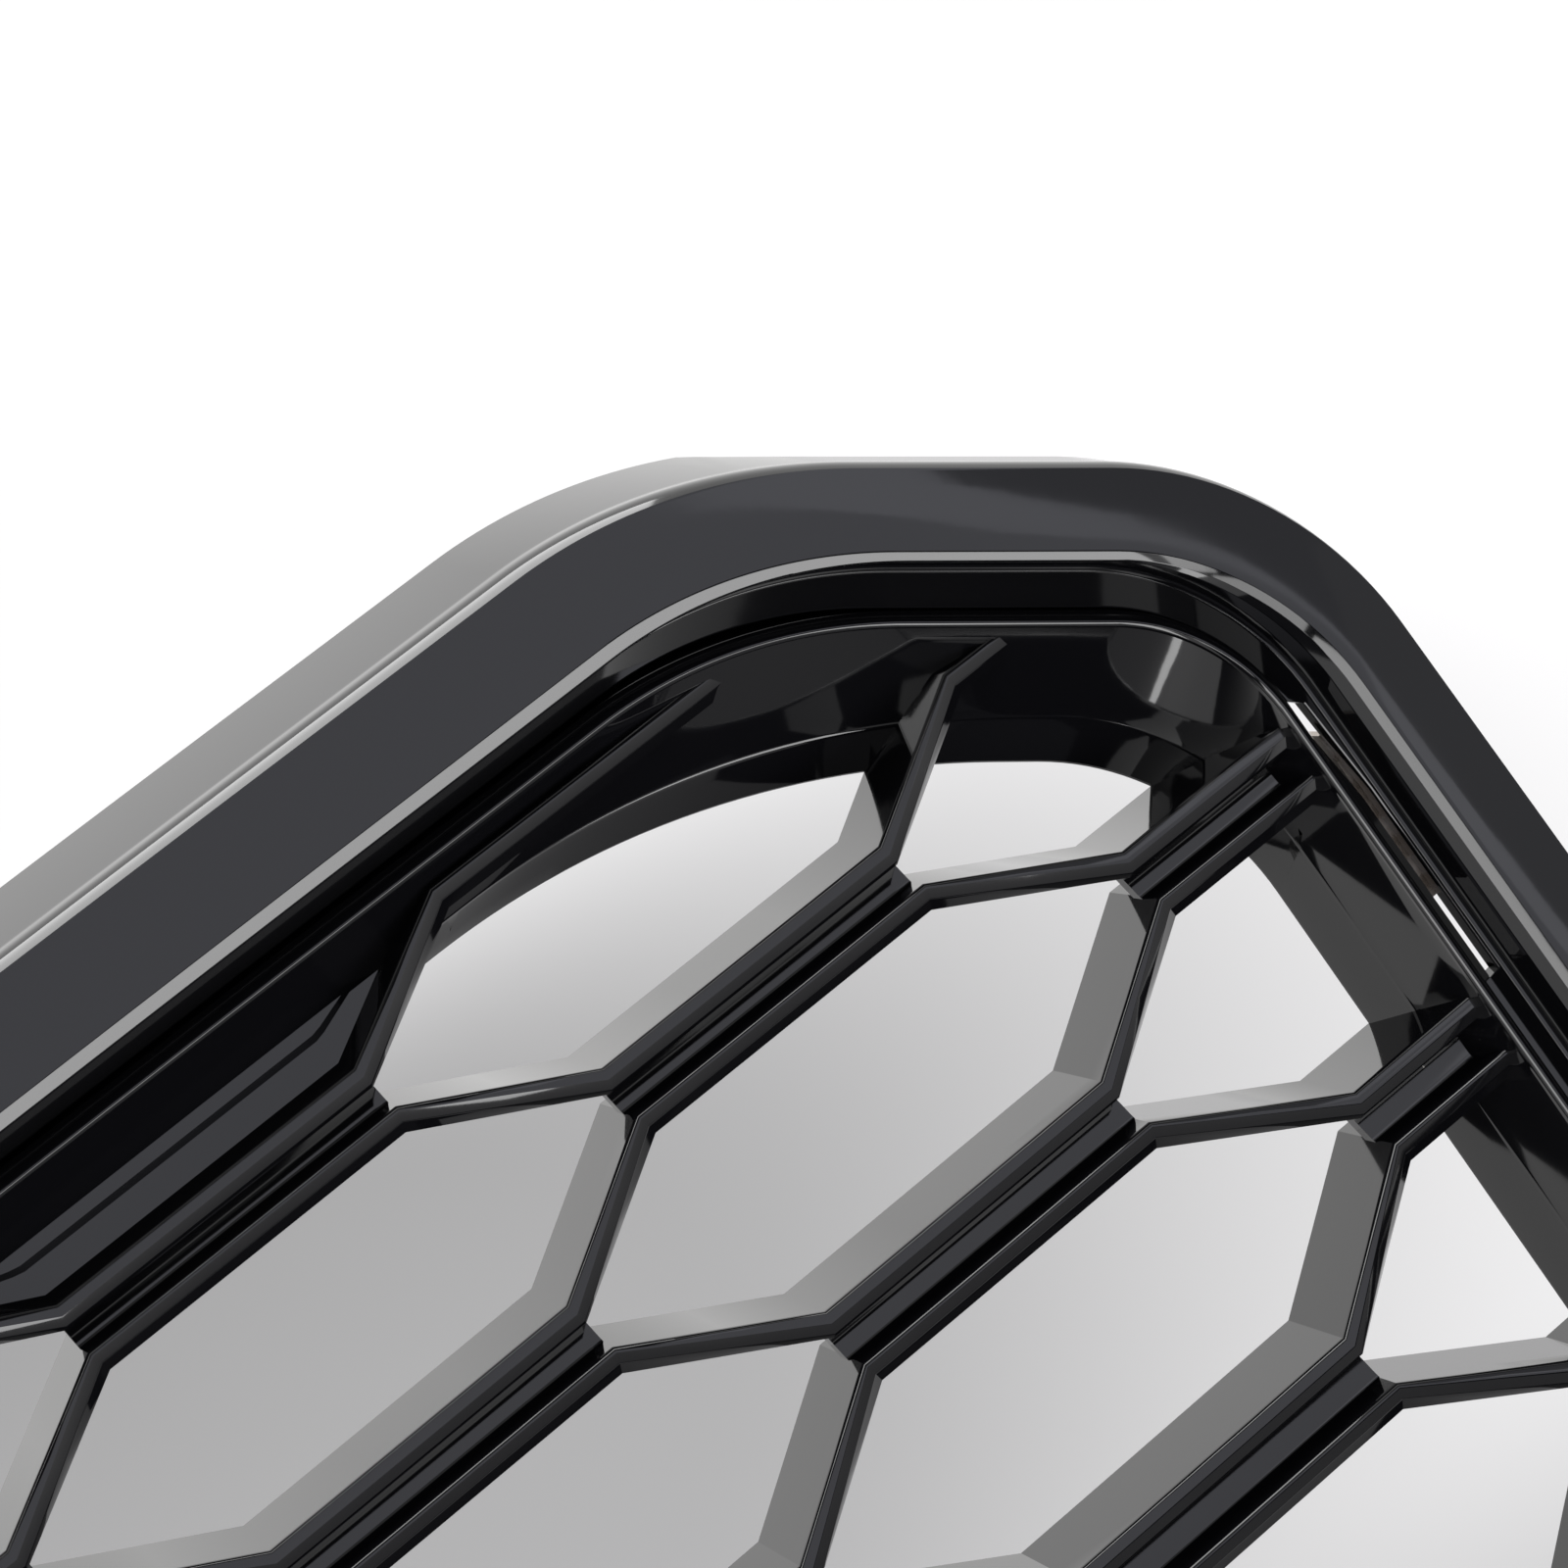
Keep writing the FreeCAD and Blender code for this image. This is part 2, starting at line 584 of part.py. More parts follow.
def make_bracket(name, x):
    """Stamped bracket: a flat plate with a fixing slot and two screw holes."""
    import Sketcher
    body = doc.addObject("PartDesign::Body", name)
    outline_sketch = sketch_on(body, "XY_Plane", name + "_outline")
    half = dim("bracket_width") / 2
    reach = dim("bracket_reach")
    taper = 8.0
    add_polyline(outline_sketch, [
        (-half, 0), (half, 0), (half, reach - taper), (half - taper, reach), (taper - half, reach), (-half, reach - taper),
    ])
    plate = body.newObject("PartDesign::Pad", name + "_plate")
    plate.Profile = outline_sketch
    bind(plate, Length="Dimensions.bracket_thickness")
    doc.recompute()

    holes = sketch_on(body, "XY_Plane", name + "_holes")
    bolt_y = dim("fixing_reach")
    radius = dim("fixing_radius")
    straight = dim("fixing_slot") / 2 - radius
    quarter = math.pi / 2
    right_end = Part.ArcOfCircle(Part.Circle(Vector(straight, bolt_y, 0), Vector(0, 0, 1), radius), -quarter, quarter)
    left_end = Part.ArcOfCircle(Part.Circle(Vector(-straight, bolt_y, 0), Vector(0, 0, 1), radius), quarter, 3 * quarter)
    holes.addGeometry(right_end)
    holes.addGeometry(Part.LineSegment(Vector(straight, bolt_y + radius, 0), Vector(-straight, bolt_y + radius, 0)))
    holes.addGeometry(left_end)
    holes.addGeometry(Part.LineSegment(Vector(-straight, bolt_y - radius, 0), Vector(straight, bolt_y - radius, 0)))
    for first, second in ((0, 1), (1, 2), (2, 3), (3, 0)):
        holes.addConstraint(Sketcher.Constraint("Coincident", first, 2, second, 1))
    for shift in (-0.5, 0.5):
        centre = Vector(shift * dim("bracket_screw_spacing"), dim("bracket_screw_reach"), 0)
        holes.addGeometry(Part.Circle(centre, Vector(0, 0, 1), dim("screw_radius") + 0.4))
    pocket = body.newObject("PartDesign::Pocket", name + "_cut")
    pocket.Profile = holes
    pocket.Type = "ThroughAll"
    pocket.Midplane = True
    doc.recompute()
    if pocket.Shape.Volume >= plate.Shape.Volume:
        raise RuntimeError(name + ": the holes cut nothing")

    body.Label = name
    body.Placement = Placement(Vector(x, dim("bracket_front"), dim("bracket_level")) - DATUM, Rotation())


def make_pin(name, x):
    """Locating pin: a flange, a neck for the grommet and a tapered free end."""
    body = doc.addObject("PartDesign::Body", name)
    profile = sketch_on(body, "XZ_Plane", name + "_profile")
    flange = dim("pin_flange_height")
    neck = flange + dim("grommet_height")
    end = neck + dim("pin_length")
    tip = 3.0
    bore = dim("screw_radius") + 0.1
    bore_depth = 14.0
    add_polyline(profile, [
        (bore, 0), (dim("pin_flange_radius"), 0), (dim("pin_flange_radius"), -flange),
        (dim("pin_neck_radius"), -flange), (dim("pin_neck_radius"), -neck),
        (dim("pin_radius"), -neck), (dim("pin_radius"), -end),
        (dim("pin_radius") - 1.5, -end - tip), (0, -end - tip), (0, -bore_depth), (bore, -bore_depth),
    ])
    turned = body.newObject("PartDesign::Revolution", name + "_turned")
    turned.Profile = profile
    turned.ReferenceAxis = (profile, ["V_Axis"])
    turned.Angle = 360
    body.Label = name
    body.Placement = Placement(Vector(x, dim("pin_y"), dim("pin_seat")) - DATUM, Rotation())


def make_grommet(name, x):
    """Rubber grommet with a waist that snaps into a panel hole."""
    body = doc.addObject("PartDesign::Body", name)
    profile = sketch_on(body, "XZ_Plane", name + "_profile")
    inner = dim("pin_neck_radius") + 0.05
    outer = dim("grommet_radius")
    height = dim("grommet_height")
    waist = outer - 2.5
    add_polyline(profile, [
        (inner, 0), (outer - 0.5, 0), (outer, -0.5), (outer, -2.5), (waist, -2.5),
        (waist, -5.0), (outer, -5.0), (outer - 1.5, -height), (inner, -height),
    ])
    turned = body.newObject("PartDesign::Revolution", name + "_turned")
    turned.Profile = profile
    turned.ReferenceAxis = (profile, ["V_Axis"])
    turned.Angle = 360
    body.Label = name
    seat = dim("pin_seat") - dim("pin_flange_height")
    body.Placement = Placement(Vector(x, dim("pin_y"), seat) - DATUM, Rotation())


def make_edge_clips():
    """Sheet clips pushed over the frame's tabs, each with a sprung barb."""
    body = doc.addObject("PartDesign::Body", "edge_clip")
    profile = sketch_on(body, "YZ_Plane", "edge_clip_profile")
    metal = dim("clip_sheet")
    length = dim("clip_length")
    gap = dim("tab_thickness")
    barb = 1.6
    add_polyline(profile, [
        (0, 0), (-length, 0), (-length, -metal), (metal, -metal), (metal, gap + metal),
        (-length * 0.35, gap + metal + barb), (-length, gap + metal + 0.2), (-length, gap),
        (-length * 0.35, gap + barb), (0, gap),
    ])
    strip = body.newObject("PartDesign::Pad", "edge_clip_strip")
    strip.Profile = profile
    strip.Midplane = True
    bind(strip, Length="Dimensions.clip_width")
    doc.recompute()
    for label, stations, top in (("upper_edge_clips", TOP_TAB_X, True), ("lower_edge_clips", BOTTOM_TAB_X, False)):
        placements = []
        for x in stations:
            level = tab_level(x, top)
            tip_y = surface_y(x, level) + REAR + dim("tab_reach")
            if top:
                placements.append(Placement(Vector(x, tip_y, level), Rotation()))
            else:
                upside_down = Rotation(Vector(0, 1, 0), 180)
                placements.append(Placement(Vector(x, tip_y, level + gap), upside_down))
        group(label, body.Shape, placements)


def make_side_clips():
    """Spring strips behind the slots, their legs standing back beside the rim."""
    low, high = SIDE_CLIP_Z
    start = dim("ledge_depth") + dim("bezel_thickness")
    leg = HALF_RIM + dim("slot_width")
    metal = dim("clip_sheet")
    leaf = layer(ring(outline(8.5), outline(leg)), start, start + metal)
    upright = layer(ring(outline(leg + metal), outline(leg)), start, start + dim("clip_length"))
    strip = leaf.fuse(upright)
    for side, corner_x in (("right", 0), ("left", -HALF_SPAN)):
        window = Part.makeBox(HALF_SPAN, 2 * FAR, high - low, Vector(corner_x, -FAR, low))
        keep("side_clip_" + side, strip.common(window).removeSplitter())


def make_felt():
    """Anti-squeak strips on the rear half of the outer wall's outside."""
    band = layer(ring(bezel_edge(-dim("felt_thickness")), bezel_edge()), REAR - 10, REAR - 2)
    low, high = -125.0, -25.0
    for side, corner_x in (("right", 0), ("left", -HALF_SPAN)):
        window = Part.makeBox(HALF_SPAN, 2 * FAR, high - low, Vector(corner_x, -FAR, low))
        keep("felt_strip_" + side, band.common(window))
    half = 180.0
    window = Part.makeBox(2 * half, 2 * FAR, 60, Vector(-half, -FAR, dim("rim_bottom") - 50))
    keep("felt_strip_bottom", band.common(window))


keep("surround_frame", make_frame())
keep("honeycomb_insert", make_insert())
make_screws()
for side, bracket_x in zip(("right", "left"), BRACKET_X):
    make_bracket("upper_bracket_" + side, bracket_x)
for side, pin_x in zip(("right", "left"), PIN_X):
    make_pin("lower_pin_" + side, pin_x)
    make_grommet("lower_grommet_" + side, pin_x)
make_edge_clips()
make_side_clips()
make_felt()
doc.recompute()

# ------------------------------------------------------------------- output
MASTERS = ("tapping_screw", "pin_screw", "edge_clip")
for item in doc.Objects:
    if "Invalid" in item.State or "Error" in item.State:
        raise RuntimeError(f"{item.Name} failed: {item.State}")

os.makedirs("parts", exist_ok=True)
for item in doc.Objects:
    finished = item.TypeId == "PartDesign::Body" or (item.TypeId == "Part::Feature" and not item.InList)
    if not finished or item.Name in MASTERS:
        continue
    if item.Shape.isNull() or not item.Shape.isValid():
        raise RuntimeError(f"{item.Label} has no valid shape")
    item.Shape.exportStep(f"parts/{item.Label}.step")
    print(f"{item.Label}: {len(item.Shape.Solids)} solids, {item.Shape.Volume / 1000:.1f} cm3")
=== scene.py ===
import math

import bmesh
import bpy
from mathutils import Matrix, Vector


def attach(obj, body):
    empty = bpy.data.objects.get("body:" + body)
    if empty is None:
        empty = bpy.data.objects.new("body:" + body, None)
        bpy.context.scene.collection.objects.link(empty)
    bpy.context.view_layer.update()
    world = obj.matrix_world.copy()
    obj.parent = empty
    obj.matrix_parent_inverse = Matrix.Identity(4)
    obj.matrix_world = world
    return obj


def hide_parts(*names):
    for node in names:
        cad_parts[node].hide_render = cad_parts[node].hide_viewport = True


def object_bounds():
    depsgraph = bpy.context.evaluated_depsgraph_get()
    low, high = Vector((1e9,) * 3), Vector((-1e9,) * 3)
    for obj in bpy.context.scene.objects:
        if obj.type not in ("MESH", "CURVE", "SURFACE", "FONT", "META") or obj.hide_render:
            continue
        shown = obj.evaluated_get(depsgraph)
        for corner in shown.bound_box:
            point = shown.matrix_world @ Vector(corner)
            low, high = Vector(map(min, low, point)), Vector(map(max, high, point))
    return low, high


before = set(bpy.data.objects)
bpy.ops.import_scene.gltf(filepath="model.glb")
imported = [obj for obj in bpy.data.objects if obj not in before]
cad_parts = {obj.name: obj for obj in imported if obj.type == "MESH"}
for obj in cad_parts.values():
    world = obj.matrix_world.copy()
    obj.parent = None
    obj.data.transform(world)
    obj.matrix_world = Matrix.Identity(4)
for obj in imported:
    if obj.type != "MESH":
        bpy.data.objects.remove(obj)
cad_low, cad_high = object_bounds()

# Front grille: a gloss black bezel frame around a honeycomb insert.
# Sizes are in millimetres, as in the CAD source; depth counts to the rear from the mesh's front surface.
MM = 0.001
DATUM_Y, DATUM_Z = 68.0, 62.75     # the part's origin, seen from honeycomb row 0
BOW = 3300.0
RAKE = math.tan(math.radians(24.5))
DROOP = 6400.0
PITCH, ROW_PITCH, ROW_GROWTH, CENTRE_RISE = 60.0, 15.8, 0.001, 10.0
BAR, RIDGE = 20.3, 2.9             # half length of a bar, half distance of its two ridges
MESH_DEPTH, CHANNEL_DEPTH, WEB = 15.0, 5.0, 2.5
CLOSED_FLOOR = 8.0
RIM_TOP, RIM_BOTTOM = 42.2, -132.3
SHOULDER = 340.0
CHAMFER_POINT, CHAMFER_SLOPE = (408.7, 11.4), math.radians(38.7)
SIDE_POINT, SIDE_LEAN = (427.1, -3.3), math.radians(10.8)
CORNER_RADIUS, ELBOW_RADIUS, FOOT_RADIUS = 50.0, 20.0, 28.0
GROOVE = (5.3, 7.0, 5.5, 5.3)      # from the rim's line to the bezel: top, chamfer, side, bottom
REACH = (19.5, 18.6, 16.4, 19.5)   # from the rim's line to the bezel's outer edge
BEZEL_ELBOW = 34.0                 # radius of the bezel between chamfer and side
TOP_STEPS, ARC_STEPS, STRETCH = 56, (28, 22, 24), (5, 4, 4)   # points along the edges and round the corners
BEZEL_FRONT, BEZEL_REAR, SKIN = -8.0, 17.0, 2.5
SLOT = (-49.0, -16.0)              # lower and upper end of the clip slots in the sides
FLANGE = 9.0                       # depth of the insert's screwed flange


# ---------------------------------------------------------------- geometry
def surface_y(x, z):
    return BOW - math.sqrt(BOW * BOW - x * x) + z * RAKE


def place(x, z, depth):
    """A point in metres from its place on the front surface and its depth."""
    return Vector((x, surface_y(x, z) + depth - DATUM_Y, z - DATUM_Z)) * MM


def meet(first, second):
    (px, pz, dx, dz), (qx, qz, ex, ez) = first, second
    step = ((qx - px) * ez - (qz - pz) * ex) / (dx * ez - dz * ex)
    return px + dx * step, pz + dz * step


def shifted(line, outwards):
    px, pz, dx, dz = line
    return px - dz * outwards, pz + dx * outwards, dx, dz


def between(start, end, steps):
    """Points from start towards end, without the end itself."""
    return [tuple(a + (b - a) * k / steps for a, b in zip(start, end)) for k in range(steps)]


def arc(before, corner, after, radius, steps):
    """The arc that rounds a corner, as steps + 1 points."""
    to_before = (Vector(before) - Vector(corner)).normalized()
    to_after = (Vector(after) - Vector(corner)).normalized()
    half = to_before.angle(to_after) / 2
    centre = Vector(corner) + (to_before + to_after).normalized() * (radius / math.sin(half))
    start = Vector(corner) + to_before * (radius / math.tan(half)) - centre
    end = Vector(corner) + to_after * (radius / math.tan(half)) - centre
    whole = start.angle(end)
    points = []
    for k in range(steps + 1):
        part = whole * k / steps
        spoke = (start * math.sin(whole - part) + end * math.sin(part)) / math.sin(whole)
        points.append(tuple(centre + spoke))
    return points


# Heights of the points down the sides, two of them close together at the slot's square lower end.
SIDE_STATIONS = [-27.0, -33.0, -40.0, SLOT[0] + 0.06, SLOT[0] - 0.06]
SIDE_STATIONS += [-55.0, -62.0, -70.0, -80.0, -90.0, -100.0, -108.0]


def outline(offsets, radii=None):
    """Closed ring of (x, z) parallel to the rim's centre line, always with the same number of points."""
    top, chamfer, side, bottom = offsets if isinstance(offsets, tuple) else (offsets,) * 4
    if radii is None:
        radii = (CORNER_RADIUS + chamfer, ELBOW_RADIUS + chamfer, FOOT_RADIUS + side)
    tilt = math.asin(SHOULDER / DROOP)
    ends = []
    for reach, rim in ((DROOP + top, RIM_TOP), (DROOP - bottom, RIM_BOTTOM)):
        height = rim - DROOP + reach * math.cos(tilt)
        ends.append((reach * math.sin(tilt), height, math.cos(tilt), -math.sin(tilt)))
    chamfer_line = shifted((*CHAMFER_POINT, math.cos(CHAMFER_SLOPE), -math.sin(CHAMFER_SLOPE)), chamfer)
    side_line = shifted((*SIDE_POINT, -math.sin(SIDE_LEAN), -math.cos(SIDE_LEAN)), side)
    corners = [ends[0][:2], meet(ends[0], chamfer_line), meet(chamfer_line, side_line)]
    corners += [meet(side_line, ends[1]), ends[1][:2]]
    corner_arc = arc(*corners[0:3], radii[0], ARC_STEPS[0])
    elbow_arc = arc(*corners[1:4], radii[1], ARC_STEPS[1])
    foot_arc = arc(*corners[2:5], radii[2], ARC_STEPS[2])

    half = []
    reach = DROOP + top
    for k in range(TOP_STEPS):
        angle = tilt * k / TOP_STEPS
        half.append((reach * math.sin(angle), RIM_TOP - DROOP + reach * math.cos(angle)))
    half += between(corners[0], corner_arc[0], STRETCH[0]) + corner_arc[:-1]
    half += between(corner_arc[-1], elbow_arc[0], STRETCH[1]) + elbow_arc
    for z in SIDE_STATIONS:
        half.append((side_line[0] + (z - side_line[1]) * math.tan(SIDE_LEAN), z))
    half += foot_arc[:-1] + between(foot_arc[-1], corners[4], STRETCH[2])
    reach = DROOP - bottom
    for k in range(TOP_STEPS + 1):
        angle = tilt * (1 - k / TOP_STEPS)
        half.append((reach * math.sin(angle), RIM_BOTTOM - DROOP + reach * math.cos(angle)))
    return half + [(-x, z) for x, z in reversed(half[1:-1])]


def along(values):
    """One value for each point of an outline, blended round its corners."""
    top, chamfer, side, bottom = values

    def blend(first, last, count):
        return [first + (last - first) * k / (count - 1) for k in range(count)]

    half = [top] * (TOP_STEPS + STRETCH[0]) + blend(top, chamfer, ARC_STEPS[0]) + [chamfer] * STRETCH[1]
    half += blend(chamfer, side, ARC_STEPS[1] + 1) + [side] * len(SIDE_STATIONS)
    half += blend(side, bottom, ARC_STEPS[2]) + [bottom] * (STRETCH[2] + TOP_STEPS + 1)
    return half + half[-2:0:-1]


def groove_edge(shift):
    """Ring parallel to the bezel's inner edge, further out by shift."""
    return outline(tuple(width + shift for width in GROOVE))


def bezel_edge(shift):
    """Ring parallel to the bezel's outer edge, moved outwards by one shift or by one for each edge."""
    shifts = shift if isinstance(shift, tuple) else (shift,) * 4
    top, chamfer, side, bottom = (reach + moved for reach, moved in zip(REACH, shifts))
    radii = (CORNER_RADIUS + chamfer, BEZEL_ELBOW + shifts[1], FOOT_RADIUS + side)
    return outline((top, chamfer, side, bottom), radii)


def in_span(z, span, margin=0.0):
    return span[0] - margin < z < span[1] + margin


CREASE = math.radians(28.0)        # edges sharper than this stay sharp


class Shape:
    """Collects vertices and faces, in millimetres on the front surface or in metres."""

    def __init__(self):
        self.points = []
        self.faces = []

    def ring(self, ring, depth):
        """A ring of points at one depth, or at one for each edge of the outline."""
        first = len(self.points)
        depths = along(depth) if isinstance(depth, tuple) else [depth] * len(ring)
        self.points += [place(x, z, d) for (x, z), d in zip(ring, depths)]
        return list(range(first, len(self.points)))

    def row(self, vectors):
        first = len(self.points)
        self.points += vectors
        return list(range(first, len(self.points)))

    def skin(self, rows, closed_section=True):
        """Quads between rings of equal length, the last joined to the first if the section is closed."""
        count = len(rows[0])
        followers = rows[1:] + rows[:1] if closed_section else rows[1:]
        for before, after in zip(rows, followers):
            for k in range(count):
                following = (k + 1) % count
                self.faces.append((before[k], before[following], after[following], after[k]))

    def loft(self, sections):
        """A closed solid through sections of equal length, capped at both ends."""
        rows = [self.row(section) for section in sections]
        self.skin(rows, closed_section=False)
        self.faces.append(tuple(reversed(rows[0])))
        self.faces.append(tuple(rows[-1]))

    def turned(self, profile, origin, axis, segments=24):
        """A turned solid: profile of (radius, height) along axis, capped at both ends."""
        axis = Vector(axis).normalized()
        across = axis.orthogonal().normalized()
        beside = axis.cross(across)
        sections = []
        for radius, height in profile:
            section = []
            for k in range(segments):
                turn = 2 * math.pi * k / segments
                arm = across * math.cos(turn) * radius + beside * math.sin(turn) * radius
                section.append(Vector(origin) + (arm + axis * height) * MM)
            sections.append(section)
        self.loft(sections)

    def block(self, low, high, edge=0.4):
        """A box between two corners in metres, all its edges cut by edge millimetres."""
        (x0, y0, z0), (x1, y1, z1) = low, high
        e = edge * MM
        corners = [(x0 + e, y0), (x1 - e, y0), (x1, y0 + e), (x1, y1 - e)]
        corners += [(x1 - e, y1), (x0 + e, y1), (x0, y1 - e), (x0, y0 + e)]
        cx, cy = (x0 + x1) / 2, (y0 + y1) / 2
        sections = []
        for z, inner in ((z0, e), (z0 + e, 0), (z1 - e, 0), (z1, e)):
            sx = 1 - 2 * inner / (x1 - x0)
            sy = 1 - 2 * inner / (y1 - y0)
            sections.append([Vector((cx + (x - cx) * sx, cy + (y - cy) * sy, z)) for x, y in corners])
        self.loft(sections)

    def build(self, name, material, replaced):
        """The collected faces as a smooth-shaded piece that stands in for a CAD node."""
        mesh = bpy.data.meshes.new(name)
        mesh.from_pydata(self.points, [], self.faces)
        mesh.validate()
        mesh.polygons.foreach_set("use_smooth", [True] * len(mesh.polygons))
        piece = bpy.data.objects.new(name, mesh)
        bpy.context.scene.collection.objects.link(piece)
        work = bmesh.new()
        work.from_mesh(mesh)
        bmesh.ops.recalc_face_normals(work, faces=work.faces)
        work.to_mesh(mesh)
        work.free()
        mesh.set_sharp_from_angle(angle=CREASE)
        evened = piece.modifiers.new("even_normals", "WEIGHTED_NORMAL")
        evened.keep_sharp = True
        evened.weight = 80
        mesh.materials.append(material)
        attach(piece, "root")
        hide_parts(replaced)


# ------------------------------------------------------------------ bezel
SCREW_TOP_X = [0, 120, -120, 240, -240, 345, -345]
SCREW_BOTTOM_X = [0, 120, -120, 240, -240, 350, -350]
SCREW_SIDE_Z = [-62, -112]
TAB_TOP_X = [54, -54, 158, -158, 314, -314, 366, -366]
TAB_BOTTOM_X = [0, 110, -110, 300, -300, 370, -370]
OUTER = REACH[0]
SCREW_OFFSET = 6                   # from the rim's line to the insert's screws


def top_place(x, outwards):
    return RIM_TOP - DROOP + math.sqrt((DROOP + outwards) ** 2 - x * x)


def bottom_place(x, outwards):
    return RIM_BOTTOM - DROOP + math.sqrt((DROOP - outwards) ** 2 - x * x)


def side_place(z, outwards):
    return SIDE_POINT[0] + (z - SIDE_POINT[1]) * math.tan(SIDE_LEAN) + outwards / math.cos(SIDE_LEAN)


SCREW_PLACES = [(x, top_place(x, SCREW_OFFSET)) for x in SCREW_TOP_X]
SCREW_PLACES += [(x, bottom_place(x, SCREW_OFFSET)) for x in SCREW_BOTTOM_X]
SCREW_PLACES += [(side * side_place(z, SCREW_OFFSET), z) for z in SCREW_SIDE_Z for side in (1, -1)]

CUT_DEPTH = 6.0                    # depth of the outer wall where it is cut back
CUT_START, CUT_END = 398.0, 408.0  # lateral places between which the top wall falls to that depth
CUT_HIGH, CUT_LOW = 8.0, -20.0     # heights between which the side wall returns to its full depth


def rear_depth(x, z):
    """Depth of the outer wall's rear edge: cut back in a sweep round the upper corners."""
    reach = abs(x)
    if z < CUT_LOW or (z > 0 and reach < CUT_START):
        return BEZEL_REAR
    if z > 0 and reach < CUT_END:
        part = (reach - CUT_START) / (CUT_END - CUT_START)
        return BEZEL_REAR - (BEZEL_REAR - CUT_DEPTH) * math.sin(part * math.pi / 2) ** 0.7
    rise = min(1.0, max(0.0, (CUT_HIGH - z) / (CUT_HIGH - CUT_LOW)))
    return CUT_DEPTH + (BEZEL_REAR - CUT_DEPTH) * rise * rise * (3 - 2 * rise)


FLARE = (3.0, 2.7, 0.0, 0.0)       # how far each edge's wall leans out at its full depth
FLARE_START = -1.2                 # depth where the lean starts
SLOT_CUT, SLOT_POINT = 2.3, 1.5    # how far the ledge is cut back at the slots, and their points' length
FACE_START = (7.45, 8.45, 8.2, 7.45)    # the flat face, from the rim's line, at top, chamfer, side and bottom
FACE_END = (18.2, 17.65, 15.85, 18.2)
CROWN_START, CROWN = 0.3, 0.35     # where across the face its crown starts, and how deep it gets
GROOVE_WALL = 3.7                  # thickness of the wall between the groove and the hollow behind the face
GROOVE_REAR = 3.5                  # depth of the ledge's rear side
TAB_HALF = 4.75                    # half width of a clip tab


